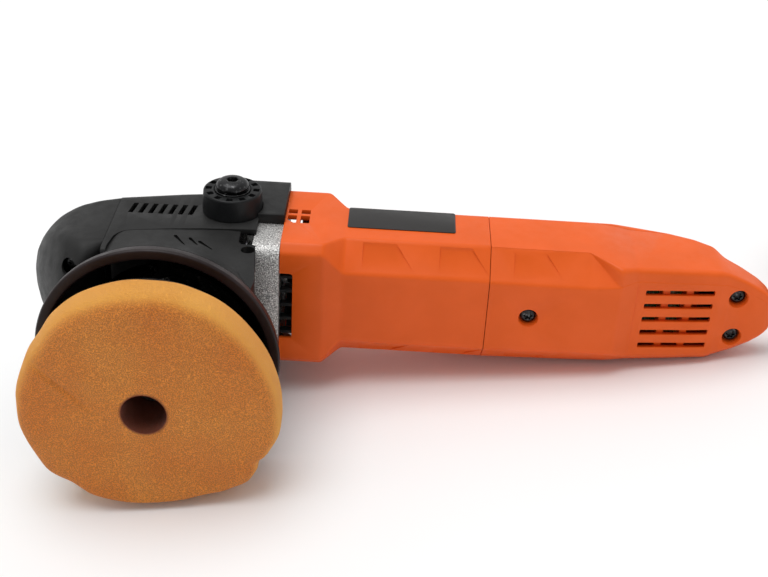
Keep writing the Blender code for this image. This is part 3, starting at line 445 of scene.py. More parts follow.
low, high = 0.024, 0.04
for _ in range(30):
    middle = (low + high) / 2
    low, high = (middle, high) if length_of(whole_route(middle)) < CORD_LENGTH else (low, middle)
cord_line = whole_route(middle)
print("inner radius", round(middle * 1000, 2), "mm, length", round(length_of(cord_line), 4), "m")

# %% The cord itself


def curve_piece(name, route, radius, material):
    curve = bpy.data.curves.new(name, "CURVE")
    curve.dimensions = "3D"
    curve.bevel_depth = radius
    curve.bevel_resolution = 4
    curve.use_fill_caps = True
    spline = curve.splines.new("POLY")
    spline.points.add(len(route) - 1)
    for made, place in zip(spline.points, route):
        made.co = (*place, 1)
    curve.materials.append(material)
    piece = bpy.data.objects.new(name, curve)
    bpy.context.scene.collection.objects.link(piece)
    return piece


cord = curve_piece("cord", cord_line, CORD_RADIUS, cord_skin)
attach(cord, "housing")
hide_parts("cord_lead", "cord_coil", "cord_tail")
print("cord of", len(cord_line), "points")

# %% [markdown]
# ## From outline to piece
# Most pieces are a stack of rings. `rounded` turns the few corners of an outline into arcs, so that no
# edge is a knife edge, `lofted` skins a stack of rings, and `turned` makes the rings of a lathe piece.
# `carve` and `fuse` then take cutters away or join bodies with exact Booleans, and `settle` replaces a
# piece's mesh by the result.

# %% Helpers that make meshes


def rounded(corners, radius, steps=5, closed=True):
    """An outline with each corner replaced by an arc. A radius may be given for each corner."""
    outline, count = [], len(corners)
    for i, corner in enumerate(corners):
        here = Vector(corner)
        if not closed and i in (0, count - 1):
            outline.append(here)
            continue
        before = Vector(corners[i - 1]) - here
        after = Vector(corners[(i + 1) % count]) - here
        half_turn = (pi - before.angle(after)) / 2
        wanted = radius[i] if hasattr(radius, "__len__") else radius
        reach = min(wanted * math.tan(half_turn), 0.49 * before.length, 0.49 * after.length)
        start, end = here + before.normalized() * reach, here + after.normalized() * reach
        for k in range(steps + 1):
            t = k / steps
            bulge = start * (1 - t) ** 2 + here * 2 * t * (1 - t) + end * t * t
            outline.append(bulge)
    return outline


def oblong(low, high, radius, steps=5):
    """A rectangle between two corners, each of them rounded."""
    return rounded([low, (high[0], low[1]), high, (low[0], high[1])], radius, steps)


def skin(bm, rings, closed_loop=False):
    """Adds the faces between rings of equal length, and closes the ends of a stack that isn't a loop."""
    stack = [[bm.verts.new(p) for p in ring] for ring in rings]
    pairs = list(zip(stack, stack[1:])) + ([(stack[-1], stack[0])] if closed_loop else [])
    for a, b in pairs:
        for i in range(len(a)):
            j = (i + 1) % len(a)
            bm.faces.new((a[i], a[j], b[j], b[i]))
    if not closed_loop:
        bm.faces.new(stack[0])
        bm.faces.new(stack[-1])
    return bm


def on_axis(axis, along, radius, angle, centre=(0, 0, 0)):
    u, v = radius * cos(angle), radius * sin(angle)
    return Vector(centre) + Vector({"X": (along, u, v), "Y": (u, along, v), "Z": (u, v, along)}[axis])


def turned_rings(axis, profile, centre=(0, 0, 0), segments=64):
    return [
        [on_axis(axis, along, radius, 2 * pi * i / segments, centre) for i in range(segments)]
        for along, radius in profile
    ]


def made(name, bm, material, smooth=38, matrix=TOOL):
    """A mesh object from a bmesh in the tool's millimetres, at the world's origin, facing outwards."""
    bmesh.ops.remove_doubles(bm, verts=bm.verts, dist=1e-4)
    bmesh.ops.recalc_face_normals(bm, faces=bm.faces)
    bm.transform(matrix)
    mesh = bpy.data.meshes.new(name)
    bm.to_mesh(mesh)
    bm.free()
    mesh.materials.append(material)
    mesh.shade_smooth()
    mesh.set_sharp_from_angle(angle=radians(smooth))
    piece = bpy.data.objects.new(name, mesh)
    bpy.context.scene.collection.objects.link(piece)
    return piece


def lofted(name, rings, material, closed_loop=False, smooth=38):
    return made(name, skin(bmesh.new(), rings, closed_loop), material, smooth)


def turned(name, axis, profile, material, centre=(0, 0, 0), segments=64, bored=True, smooth=38):
    return lofted(name, turned_rings(axis, profile, centre, segments), material, bored, smooth)


def box(bm, low, high):
    """Adds a box between two corners."""
    ring = [(low[0], low[1]), (high[0], low[1]), (high[0], high[1]), (low[0], high[1])]
    return skin(bm, [[Vector((x, y, z)) for x, y in ring] for z in (low[2], high[2])])


def pushed(bm, outline, axis, start, end):
    """Adds an outline of (u, v) points pushed along an axis from start to end."""
    order = {"X": (2, 0, 1), "Y": (0, 2, 1), "Z": (0, 1, 2)}[axis]
    rings = []
    for along in (start, end):
        rings.append([Vector([(p[0], p[1], along)[i] for i in order]) for p in outline])
    return skin(bm, rings)


def slab(name, outline, axis, start, end, material, smooth=38):
    """An outline pushed along an axis, as a piece of its own."""
    return made(name, pushed(bmesh.new(), outline, axis, start, end), material, smooth)


print("helpers ready")

# %% Helpers that cut, join and finish pieces


def settle(piece, smooth=38):
    """Replaces a piece's mesh by what its modifiers make of it."""
    graph = bpy.context.evaluated_depsgraph_get()
    result = bpy.data.meshes.new_from_object(piece.evaluated_get(graph))
    piece.modifiers.clear()
    old, piece.data = piece.data, result
    result.name = piece.name
    bpy.data.meshes.remove(old)
    result.shade_smooth()
    result.set_sharp_from_angle(angle=radians(smooth))
    return piece


def combine(piece, operation, others, smooth=38):
    for other in others:
        step = piece.modifiers.new(operation.lower(), "BOOLEAN")
        step.operation, step.solver, step.object = operation, "EXACT", other
    settle(piece, smooth)
    for other in others:
        bpy.data.objects.remove(other)
    return piece


def carve(piece, *cutters, smooth=38):
    return combine(piece, "DIFFERENCE", cutters, smooth)


def fuse(piece, *others, smooth=38):
    return combine(piece, "UNION", others, smooth)


def soften(piece, width, angle=38, segments=2):
    """Rounds the edges that a cut has left sharp."""
    bevel = piece.modifiers.new("soften", "BEVEL")
    bevel.width, bevel.segments = width * 0.001, segments
    bevel.limit_method, bevel.angle_limit = "ANGLE", radians(angle)
    bevel.harden_normals = False
    bevel.use_clamp_overlap = True
    return settle(piece, 50)


def place(piece, body, slot, *nodes):
    """Fixes a finished piece to a body of the frame, and hides the solids that it stands for."""
    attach(piece, body)
    if nodes:
        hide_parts(*nodes)
    print(piece.name, len(piece.data.polygons), "faces on", body)
    return piece


print("cutting helpers ready")

# %% [markdown]
# ## A Geometry Nodes tree that repeats a shape
# A tool is full of repeats: screws, slots, ribs, notches, teeth. One node tree makes them all. It takes a
# small master shape, a number of copies, a step between them for a row or an angle for a ring, and a
# material. It instances the master on the points, makes the copies real, and sets their material.

# %% Build the tree


def repeat_tree():
    tree = bpy.data.node_groups.new("repeat", "GeometryNodeTree")
    face = tree.interface
    face.new_socket("Geometry", in_out="OUTPUT", socket_type="NodeSocketGeometry")
    for name, kind in (
        ("Master", "NodeSocketObject"), ("Count", "NodeSocketInt"), ("Step", "NodeSocketVector"),
        ("Ring angle", "NodeSocketFloat"), ("Centre", "NodeSocketVector"),
        ("Material", "NodeSocketMaterial"),
    ):
        face.new_socket(name, in_out="INPUT", socket_type=kind)

    def node(kind, **inputs):
        made_node = tree.nodes.new(kind)
        for name, value in inputs.items():
            tree.links.new(value, made_node.inputs[name.replace("_", " ")])
        return made_node

    given = tree.nodes.new("NodeGroupInput").outputs
    master = node("GeometryNodeObjectInfo", Object=given["Master"])
    line = node(
        "GeometryNodeMeshLine", Count=given["Count"], Start_Location=given["Centre"], Offset=given["Step"],
    )
    index = tree.nodes.new("GeometryNodeInputIndex")
    angle = tree.nodes.new("ShaderNodeMath")
    angle.operation = "MULTIPLY"
    tree.links.new(index.outputs[0], angle.inputs[0])
    tree.links.new(given["Ring angle"], angle.inputs[1])
    turn = node("ShaderNodeCombineXYZ", Z=angle.outputs[0])
    copies = node(
        "GeometryNodeInstanceOnPoints", Points=line.outputs[0], Instance=master.outputs["Geometry"],
        Rotation=turn.outputs[0],
    )
    real = node("GeometryNodeRealizeInstances", Geometry=copies.outputs[0])
    painted = node("GeometryNodeSetMaterial", Geometry=real.outputs[0], Material=given["Material"])
    out = tree.nodes.new("NodeGroupOutput")
    tree.links.new(painted.outputs[0], out.inputs[0])
    return tree


REPEAT = repeat_tree()


def grown(name, tree, values):
    """Runs a tree with these named inputs, and keeps its result as one plain mesh at the world's origin."""
    holder = bpy.data.objects.new(name, bpy.data.meshes.new(name))
    bpy.context.scene.collection.objects.link(holder)
    modifier = holder.modifiers.new(tree.name, "NODES")
    modifier.node_group = tree
    for item in tree.interface.items_tree:
        if item.in_out == "INPUT":
            modifier[item.identifier] = values[item.name]
    settle(holder)
    holder.data.transform(TOOL)
    for helper in values.values():
        if isinstance(helper, bpy.types.Object):
            bpy.data.objects.remove(helper)
    return holder


def repeated(name, bm, material, count, step=(0, 0, 0), ring=0.0, centre=(0, 0, 0)):
    """Copies of a master shape in a row, or turned about Z in a ring."""
    master = made(f"{name}_master", bm, material, matrix=Matrix.Identity(4))
    return grown(name, REPEAT, {
        "Master": master, "Count": count, "Step": step, "Ring angle": ring, "Centre": centre,
        "Material": material,
    })


print("repeat tree with", len(REPEAT.nodes), "nodes")

# %% [markdown]
# ## The body's cross-section
# The motor housing and the rear handle are boxes with their long edges cut off by wide flats. A section
# has a half width, a lowest and highest Y and two flats, and its eight corners are rounded a little.
# Stations along X say how the section changes. Between them it runs straight, and `eased` rounds each
# change of direction, as the mould does.

# %% Stations and sections
MOTOR_STATIONS = (
    (61.0, 41.0, -37.5, 37.5, 5.0, 5.0), (86.0, 41.0, -37.5, 37.5, 5.0, 5.0),
    (97.0, 38.4, -34.3, 34.3, 15.6, 15.6), (182.3, 38.4, -34.3, 34.3, 15.6, 15.6),
)
# X, half width, lowest and highest Y, pad-side and palm-side flat, how far the step has come, and the
# half width and flat of the side that it lies on.
HANDLE_STATIONS = (
    (182.7, 38.4, -34.5, 34.3, 15.6, 15.6, 0.02, 38.4, 15.6),
    (241.0, 38.2, -34.5, 34.0, 15.6, 15.0, 0.02, 36.9, 15.4),
    (258.5, 35.9, -34.3, 33.4, 11.8, 10.2, 0.97, 34.6, 13.0),
    (268.5, 33.8, -28.7, 33.0, 8.0, 8.0, 0.97, 32.6, 7.0),
    (293.0, 32.8, -26.2, 28.2, 8.0, 7.5, 0.97, 31.4, 6.0),
    (307.5, 32.5, -24.8, 22.8, 8.0, 7.5, 0.97, 30.9, 6.0),
    (318.5, 31.6, -23.4, 16.6, 8.0, 7.5, 0.97, 30.5, 5.5),
    (323.0, 30.2, -21.9, 8.0, 7.0, 8.0, 0.97, 28.6, 5.0),
    (334.0, 25.2, -20.3, 5.0, 6.0, 7.0, 0.97, 25.0, 5.0),
    (344.0, 20.0, -19.8, 1.5, 6.0, 6.0, 0.97, 19.6, 5.0),
    (350.0, 15.4, -19.0, -1.0, 5.0, 5.0, 0.97, 15.0, 4.5),
    (352.8, 11.0, -17.8, -3.5, 4.0, 3.0, 0.97, 11.0, 3.5),
)
WALL = 3.0


def straight(stations, x):
    """The section at x, read on straight lines between stations."""
    x = min(max(x, stations[0][0]), stations[-1][0])
    for a, b in zip(stations, stations[1:]):
        if x <= b[0]:
            t = (x - a[0]) / (b[0] - a[0])
            return [p + (q - p) * t for p, q in zip(a[1:], b[1:])]


def eased(stations, x, reach):
    """The same, averaged over a short reach, so that a change of direction becomes an arc."""
    reach = min(reach, x - stations[0][0], stations[-1][0] - x)
    samples = [straight(stations, x + reach * (k - 4) / 4) for k in range(9)]
    return [sum(values) / 9 for values in zip(*samples)]


def section(x, sizes, inset=0.0, fillet=4.0):
    """The ring of the body at x, or of its inner wall. A step makes the upper flat a square corner."""
    half, low, high, low_flat, high_flat, *more = sizes
    step, under, under_flat = more or (None, half, low_flat)
    half, under, low, high = half - inset, under - inset, low + inset, high - inset
    slope = inset * (2 - math.sqrt(2))
    c, d, e = (max(flat - slope, 0.8) for flat in (low_flat, high_flat, under_flat))
    corners = [(low, half - c), (low + c, half)]
    if step is not None:
        at = low + c * (1 - step)
        corners[1:] = [(at, half - c * step), (at, half)]
    corners += [(high - d, half), (high, half - d), (high, d - under), (high - d, -under)]
    corners += [(low + e, -under), (low, e - under)]
    return [Vector((x, p.x, p.y)) for p in rounded(corners, fillet)]


def body_rings(stations, inset=0.0, reach=1.6, fillet=4.0):
    places = {stations[0][0], stations[-1][0]}
    for x, *_ in stations[1:-1]:
        places |= {x + reach * k / 3 for k in (-3, -2, -1, 0, 1, 2, 3)}
    places = sorted(x for x in places if stations[0][0] <= x <= stations[-1][0])
    return [section(x, eased(stations, x, reach), inset, fillet) for x in places]


def shell(name, stations, material, fillet=4.0, reach=1.6, open_ends=(1.0, 1.0), last=None):
    """A hollow body: the outer loft with an inner one taken away, which runs on past its open ends."""
    piece = lofted(name, body_rings(stations, 0, reach, fillet), material)
    rings = body_rings(stations[:last], WALL, reach, max(fillet - WALL, 0.6))
    for p in rings[0]:
        p.x -= open_ends[0]
    for p in rings[-1]:
        p.x += open_ends[1]
    return carve(piece, lofted(f"{name}_room", rings, material))


print("section ready, with", len(section(0, MOTOR_STATIONS[0][1:])), "points")

# %% [markdown]
# ## The motor housing
# The housing is a hollow moulding with a flange at the front. Its details are all cuts: four small
# windows on each side, a notch for the fan's exhaust, and two shallow wedges in each upper flat, deep at
# the top and running out to nothing, which catch the light.

# %% Build the motor housing
WEDGE_DEPTH, WEDGE_WALL, WEDGE_LONG = 1.1, 2.6, 18.5


def wedge(bm, start, end, side, flat_edge, slant=12.0):
    """A wedge-shaped cutter on the pad-side flat, whose top edge runs along X at flat_edge = (y, z)."""
    down = Vector((0, -1, -1)).normalized()
    out = Vector((0, -1, 1)).normalized()
    top = Vector((0, *flat_edge)) + down * 2.0
    foot = top + down * WEDGE_WALL - out * WEDGE_DEPTH
    low = top + down * WEDGE_LONG + out * 0.1
    near, far = Vector((start, 0, 0)), Vector((end, 0, 0))
    slip = Vector((slant * WEDGE_WALL / WEDGE_LONG, 0, 0))
    roof = out * 3.5
    low_far = low + far + Vector((slant, 0, 0))
    rings = [
        [top + near, foot + near, low + near, low + near + roof, top + near + roof],
        [top + far, foot + far + slip, low_far, low_far + roof, top + far + roof],
    ]
    rings = [[Vector((p.x, p.y, side * p.z)) for p in ring] for ring in rings]
    return skin(bm, rings)


def window_cutters(side):
    bm = bmesh.new()
    for x in (62.3, 70.0):
        for y, tall in ((3.0, 5.0), (-8.5, 9.0)):
            corners = [(x, y), (x + 5.4, y), (x + 5.4, y + tall), (x, y + tall)]
            if (x, y) == (62.3, -8.5):
                corners[:1] = [(x + 3.6, y), (x, y + 3.4)][::-1]
            pushed(bm, rounded(corners, 0.6, 3), "Z", side * 36.0, side * 43.0)
    return made("windows", bm, orange)


housing_shell = shell("motor_housing_shell", MOTOR_STATIONS, orange)
notches = bmesh.new()
for y_from, y_to, z_low, z_high in ((-41.0, -30.0, -21.5, 23.0), (30.0, 41.0, -21.5, 21.5)):
    pushed(notches, oblong((58.0, z_low), (68.5, z_high), 2.0, 4), "Y", y_from, y_to)
wedges = bmesh.new()
for side in (-1, 1):
    for start, end in ((108.0, 127.5), (152.8, 171.4)):
        wedge(wedges, start, end, side, (-34.3 + 15.6, 38.4))
carve(
    housing_shell, made("notches", notches, orange), made("wedges", wedges, orange),
    window_cutters(-1), window_cutters(1),
)
soften(housing_shell, 0.45)
place(housing_shell, "housing", "orange_plastic", "motor_housing")

# %% [markdown]
# ## Ribs behind the exhaust, and the label
# Behind the notch a black baffle guides the fan's air between thin ribs, made as a row by the repeat
# tree. The label is only a dark film with round corners. It is left blank.

# %% Exhaust ribs and label
rib = box(bmesh.new(), (61.2, -36.2, -0.9), (72.0, -31.0, 0.9))
ribs = repeated("exhaust_ribs", rib, black_plastic, 5, step=(0, 0, 9.4), centre=(0, 0, -17.8))
soften(ribs, 0.3)
place(ribs, "housing", "black_plastic")

label_outline = oblong((98.0, -6.0), (162.0, 18.5), 1.6)
label = soften(slab("label_film_plate", label_outline, "Z", 38.45, 39.0, label_film), 0.12)
place(label, "housing", "label_film", "label_plate")

# %% [markdown]
# ## The rear handle
# Two half shells meet on a flat joint near the palm side. The lower one, towards the camera, carries the
# vents, the screw recesses and the cord's outlet. Its flats run out in a slanting facet and the tail
# becomes a rounded box. The vent panel is set in a little, and two ribs stand across behind its slots.

# %% The two handle shells
SPLIT_Y, FAR = 20.0, 130.0
HANDLE_SCREWS = ((207.0, 0.5, -34.5), (331.0, 13.5, -20.2), (331.5, -13.0, -20.2))


def face_y(x):
    """The pad-side face of the handle."""
    return straight(HANDLE_STATIONS, x)[1]


def handle_half(name, low_y, high_y):
    half = shell(name, HANDLE_STATIONS, orange, last=-3, open_ends=(1.0, 0.0))
    away = box(bmesh.new(), (150.0, low_y, -FAR), (400.0, high_y, FAR))
    return carve(half, made("away", away, orange))


handle_lower = handle_half("handle_lower_shell", SPLIT_Y, FAR)
bosses = bmesh.new()
holes = bmesh.new()
for x, z, y in HANDLE_SCREWS:
    skin(bosses, turned_rings("Y", ((y + 2.0, 7.6), (y + 15.0, 7.6)), (x, 0, z), 40))
    recess = ((-3.0, 6.1), (0.1, 5.9), (0.8, 5.5), (5.0, 5.4), (5.0, 2.3), (18.0, 2.3))
    skin(holes, turned_rings("Y", [(y + deep, radius) for deep, radius in recess], (x, 0, z), 40))
skin(holes, turned_rings("X", ((334.0, 5.3), (360.0, 5.3)), (0, -11.0, 0), 40))
fuse(handle_lower, made("bosses", bosses, orange))

panel_rings = []
for x, depth in ((269.0, 0.9), (278.0, 0.75), (293.0, 0.5), (307.0, 0.3), (320.0, -0.1)):
    y = face_y(x)
    ring = ((y - 0.1, -30.0), (y + depth, 23.2), (y - 5, 23.2), (y - 5, -30.0))
    panel_rings.append([Vector((x, u, v)) for u, v in ring])
panel = lofted("panel", panel_rings, orange)
slot = pushed(bmesh.new(), oblong((274.6, -1.75), (315.8, 1.75), 0.7, 3), "Y", -36.0, -16.0)
slots = repeated("slots", slot, orange, 5, step=(0, 0, -9.0), centre=(0, 0, 18.0))
wedges = bmesh.new()
for side in (-1, 1):
    wedge(wedges, 196.3, 214.8, side, (-34.5 + 15.6, 38.4))
carve(handle_lower, panel, made("holes", holes, orange), slots, made("wedges", wedges, orange))
soften(handle_lower, 0.4)
place(handle_lower, "housing", "orange_plastic", "rear_handle_lower")

# %% Ribs behind the handle's vents
cross_ribs = bmesh.new()
for x in (285.2, 299.3):
    ring = [(x, face_y(x) + 3.0), (x + 4.4, face_y(x + 4.4) + 3.0), (x + 4.4, -13.0), (x, -13.0)]
    pushed(cross_ribs, ring, "Z", -23.0, 22.0)
vent_ribs = soften(made("vent_ribs", cross_ribs, orange), 0.4)
place(vent_ribs, "housing", "orange_plastic")

# %% The upper shell, with the switch's slot and the dial's
handle_upper = handle_half("handle_upper_shell", -FAR, SPLIT_Y + 0.3)
palm_slots = pushed(bmesh.new(), oblong((198.2, -6.0), (231.0, 6.0), 1.5), "Y", 28.0, 40.0)
pushed(palm_slots, oblong((276.0, -4.3), (300.0, 4.3), 1.2), "Y", 21.0, 40.0)
thumb_seat = slab("thumb_seat", oblong((193.0, -11.0), (237.0, 11.0), 5.0), "Y", 33.5, 40.0, orange)
carve(handle_upper, thumb_seat, made("palm_slots", palm_slots, orange))
soften(handle_upper, 0.4)
place(handle_upper, "housing", "orange_plastic", "rear_handle_upper")

# %% [markdown]
# ## The screws
# A shell is held by pan-head screws with six-lobed sockets. One master screw is a stack of rings: round
# ones for the head, then star-shaped ones going down into the socket. A second small tree sets copies of
# it on the places where the screws are.

# %% A tree that sets copies on points


def scatter_tree():
    tree = bpy.data.node_groups.new("set_on_points", "GeometryNodeTree")
    tree.interface.new_socket("Geometry", in_out="OUTPUT", socket_type="NodeSocketGeometry")
    kinds = {"Master": "Object", "Places": "Object", "Size": "Float", "Material": "Material"}
    for name, kind in kinds.items():
        tree.interface.new_socket(name, in_out="INPUT", socket_type=f"NodeSocket{kind}")
    given = tree.nodes.new("NodeGroupInput").outputs
    infos = []
    for name in ("Master", "Places"):
        info = tree.nodes.new("GeometryNodeObjectInfo")
        tree.links.new(given[name], info.inputs["Object"])
        infos.append(info.outputs["Geometry"])
    copies = tree.nodes.new("GeometryNodeInstanceOnPoints")
    for value, socket in ((infos[0], "Instance"), (infos[1], "Points"), (given["Size"], "Scale")):
        tree.links.new(value, copies.inputs[socket])
    real = tree.nodes.new("GeometryNodeRealizeInstances")
    painted = tree.nodes.new("GeometryNodeSetMaterial")
    tree.links.new(copies.outputs[0], real.inputs[0])
    tree.links.new(real.outputs[0], painted.inputs["Geometry"])
    tree.links.new(given["Material"], painted.inputs["Material"])
    tree.links.new(painted.outputs[0], tree.nodes.new("NodeGroupOutput").inputs[0])
    return tree


SCATTER = scatter_tree()


def scattered(name, bm, material, places, size=1.0):
    """Copies of a master shape at points in the tool's millimetres."""
    master = made(f"{name}_master", bm, material, matrix=Matrix.Identity(4))
    points = bmesh.new()
    for spot in places:
        points.verts.new(spot)
    spots = made(f"{name}_places", points, material, matrix=Matrix.Identity(4))
    return grown(name, SCATTER, {"Master": master, "Places": spots, "Size": size, "Material": material})


# %% The screws


def screw_head():
    """A pan head that faces -Y, its crown at the origin, with a six-lobed socket and a short shank."""
    rings = []
    for y, radius, lobes in (
        (12.0, 2.0, 0), (2.2, 2.0, 0), (2.2, 4.3, 0), (1.9, 4.8, 0), (1.1, 4.75, 0), (0.5, 4.3, 0),
        (0.12, 3.5, 0), (0.0, 2.9, 0), (0.05, 2.35, 0.45), (1.5, 2.2, 0.45), (1.7, 1.9, 0.4),
    ):
        ring = []
        for i in range(60):
            angle = 2 * pi * i / 60
            reach = radius + lobes * cos(6 * angle)
            ring.append(Vector((reach * cos(angle), y, reach * sin(angle))))
        rings.append(ring)
    return skin(bmesh.new(), rings)


handle_screws = scattered(
    "handle_screws", screw_head(), dark_steel, [(x, y + 2.6, z) for x, z, y in HANDLE_SCREWS],
)
place(handle_screws, "housing", "dark_steel", "handle_screw_1", "handle_screw_2", "handle_screw_3")
head_screws = scattered(
    "head_screws", screw_head(), dark_steel, [(-56.0, -47.0, 27.5), (-12.0, -48.4, 26.0)], 0.8,
)
place(head_screws, "housing", "dark_steel", "nose_screw", "retainer_screw")

# %% [markdown]
# ## Switch and speed dial
# On the palm side a thumb slides the switch 4 mm forward, against ridges moulded across it. Behind it
# the edge of a dial stands out of its slot. Its rim is knurled at both sides, and between them it carries
# the plain numbers 1 to 6.

# %% The slider
RIDGES, RIDGE_PITCH = 7, 2.6
thumb = [(203.0, 30.4), (227.0, 30.4), (227.0, 35.4)]
for i in range(RIDGES):
    x = 224.6 - RIDGE_PITCH * i
    crown = 38.4 - 1.6 * (1 - ((x - 215.0) / 10.5) ** 2)
    thumb += [(x, crown), (x - 0.9, crown + 0.55), (x - 1.5, crown + 0.1)]
thumb += [(203.0, 35.4)]
slider = soften(slab("thumb_slider", thumb, "Z", -5.2, 5.2, black_plastic, 25), 0.2, 30)
place(slider, "slide_switch", "black_plastic", "switch_slider")

# %% The dial and its numbers
DIAL_CENTRE, DIAL_RIM = Vector((288.0, 19.5, 0.0)), 10.55
knurls = 44
wheel = bmesh.new()
rings = []
for z, radius, depth in (
    (-3.6, 9.9, 0.2), (-3.3, 10.8, 0.35), (-2.1, 10.9, 0.35), (-1.8, DIAL_RIM, 0), (1.8, DIAL_RIM, 0),
    (2.1, 10.9, 0.35), (3.3, 10.8, 0.35), (3.6, 9.9, 0.2),
):
    count = knurls * 6
    angles = [2 * pi * i / count for i in range(count)]
    rings.append([on_axis("Z", z, radius + depth * cos(knurls * a), a, DIAL_CENTRE) for a in angles])
wheel = made("speed_wheel", skin(wheel, rings), black_plastic, 30)
place(wheel, "dial", "black_plastic", "speed_dial")

digit_paint = Paint("dial_number_ink", 0.5)
ink = digit_paint.ramp(digit_paint.noise(900, 3), 0.3, 0.7)
digit_paint.set("Base Color", digit_paint.blend(ink, (0.6, 0.6, 0.58, 1), (0.75, 0.75, 0.73, 1)))
digits = bmesh.new()
aside = Vector((0, 0, 1))
for number in range(1, 7):
    text = bpy.data.curves.new("digit", "FONT")
    text.body, text.size, text.extrude = str(number), 3.4, 0.06
    text.align_x, text.align_y = "CENTER", "CENTER"
    letter = bpy.data.objects.new("digit", text)
    bpy.context.scene.collection.objects.link(letter)
    flat = bpy.data.meshes.new_from_object(letter.evaluated_get(bpy.context.evaluated_depsgraph_get()))
    bpy.data.objects.remove(letter)
    angle = radians(90 + 45 * (number - 1))
    out = Vector((cos(angle), sin(angle), 0))
    spin = Matrix((aside, out.cross(aside), out)).transposed().to_4x4()
    flat.transform(Matrix.Translation(DIAL_CENTRE + out * (DIAL_RIM + 0.05)) @ spin)
    digits.from_mesh(flat)
    bpy.data.meshes.remove(flat)
numbers = made("dial_numbers", digits, digit_paint.material)
place(numbers, "dial", "black_plastic")
print("numbers stand", round(numbers.data.vertices[0].co.z, 4), "m high")

# %% [markdown]
# ## The gear case
# Between the black head and the orange housing stands the gear case's flange, a cast plate with well
# rounded corners. A cup for the bevel gear, a neck and two lugs for the side bolts are cast on it, and
# mostly hidden. They are joined to the plate, bored out, and every edge is broken, as a casting's is.

# %% Build the gear case
BOSS_X = 29.5
flange = oblong((-40.0, -39.5), (34.5, 39.5), 10.0, 9)
case = slab("gear_case_casting", flange, "X", 45.0, 60.7, aluminium)
cup = turned("cup", "Y", ((-36.0, 34.0), (14.0, 34.0), (26.0, 20.0)), aluminium, bored=False)
neck = turned("neck", "X", ((18.0, 22.5), (46.0, 22.5)), aluminium, bored=False)
lugs = turned("lugs", "Z", ((-39.0, 8.5), (39.0, 8.5)), aluminium, (BOSS_X, 0, 0), 40, bored=False)
fuse(case, neck, lugs, cup)
cavity_profile = ((-37.0, 30.7), (12.0, 30.7), (12.0, 13.4), (23.0, 13.4))
cavity = turned("cavity", "Y", cavity_profile, aluminium, bored=False)
bore = turned("bore", "X", ((10.0, 16.5), (62.0, 16.5)), aluminium, bored=False)
taps = bmesh.new()
for side in (-1, 1):
    skin(taps, turned_rings("Z", ((side * 27.0, 4.6), (side * 41.0, 4.6)), (BOSS_X, 0, 0), 32))
carve(case, cavity, bore, made("taps", taps, aluminium))
soften(case, 0.9, 45, 3)
place(case, "housing", "cast_aluminium", "gear_case")

# %% [markdown]
# ## The head's covers
# Three black mouldings wrap the gear case: a cover over both sides and the palm, a rounded nose, and the
# lower case, which flares into the ring round the pad. The cover's lower edge follows the seam, almost
# straight and then turning down behind the nose. Seven slanted slots cool the gears.

# %% The head cover
COVER_STATIONS = (
    (-38.0, 42.0, -54.0, 25.0, 2.0, 15.0), (0.0, 42.5, -54.0, 33.5, 2.0, 15.5),
    (30.0, 43.0, -54.0, 37.5, 2.0, 15.5), (46.0, 43.0, -54.0, 38.6, 2.0, 15.0),
)
SEAM = (
    (-35.3, -60.0), (-35.1, -49.0), (-33.6, -38.0), (-30.0, -32.2), (-23.8, -30.2), (-4.6, -27.2),
    (15.0, -25.2), (43.6, -23.7), (56.0, -23.0),
)


def seam_outline(shift, far_y):
    """The seam moved along Y, and closed at a far Y, as an outline in XY."""
    edge = [Vector((x, y + shift)) for x, y in SEAM]
    return [Vector((edge[0].x, far_y)), *rounded(edge, 8.0, 4, closed=False), Vector((edge[-1].x, far_y))]


head_cover = shell("head_cover_shell", COVER_STATIONS, black_cover, 10.0, 4.0, (2.0, 16.0))
bridge_outline = oblong((-9.0, -46.0), (39.2, 46.0), [1.2, 9, 9, 1.2], 6)
fuse(head_cover, slab("bridge", bridge_outline, "X", 32.0, 60.8, black_cover))
room_outline = oblong((-20.0, -40.0), (35.6, 40.0), [1, 8, 8, 1], 6)
bridge_room = slab("bridge_room", room_outline, "X", 20.0, 63.0, black_cover)
carve(head_cover, slab("below", seam_outline(0.0, -90.0), "Z", -60.0, 60.0, black_cover), bridge_room)

VENT = ((0.0, -9.5), (2.9, -9.5), (4.6, 2.6), (1.7, 2.6))
vents = []
for side in (-1, 1):
    master = pushed(bmesh.new(), rounded(VENT, 0.35, 2), "Z", side * 36.0, side * 46.0)
    vents.append(repeated("vents", master, black_cover, 7, step=(5.85, 0, 0), centre=(-31.0, 0, 0)))
seats = bmesh.new()
for side in (-1, 1):
    seat = ((side * 36.0, 4.8), (side * 43.1, 4.8), (side * 43.1, 18.2), (side * 60.0, 18.2))
    skin(seats, turned_rings("Z", seat, (BOSS_X, 0, 0), 64))
carve(head_cover, *vents, made("seats", seats, black_cover))
soften(head_cover, 0.4)
place(head_cover, "housing", "black_cover", "head_cover")

# %% [markdown]
# ## The nose
# The nose is the same kind of loft, with larger flats and fillets and slower changes between its
# stations, so that it reads as one rounded form. The ring round the pad passes under it, and a screw
# sits deep in a hole.

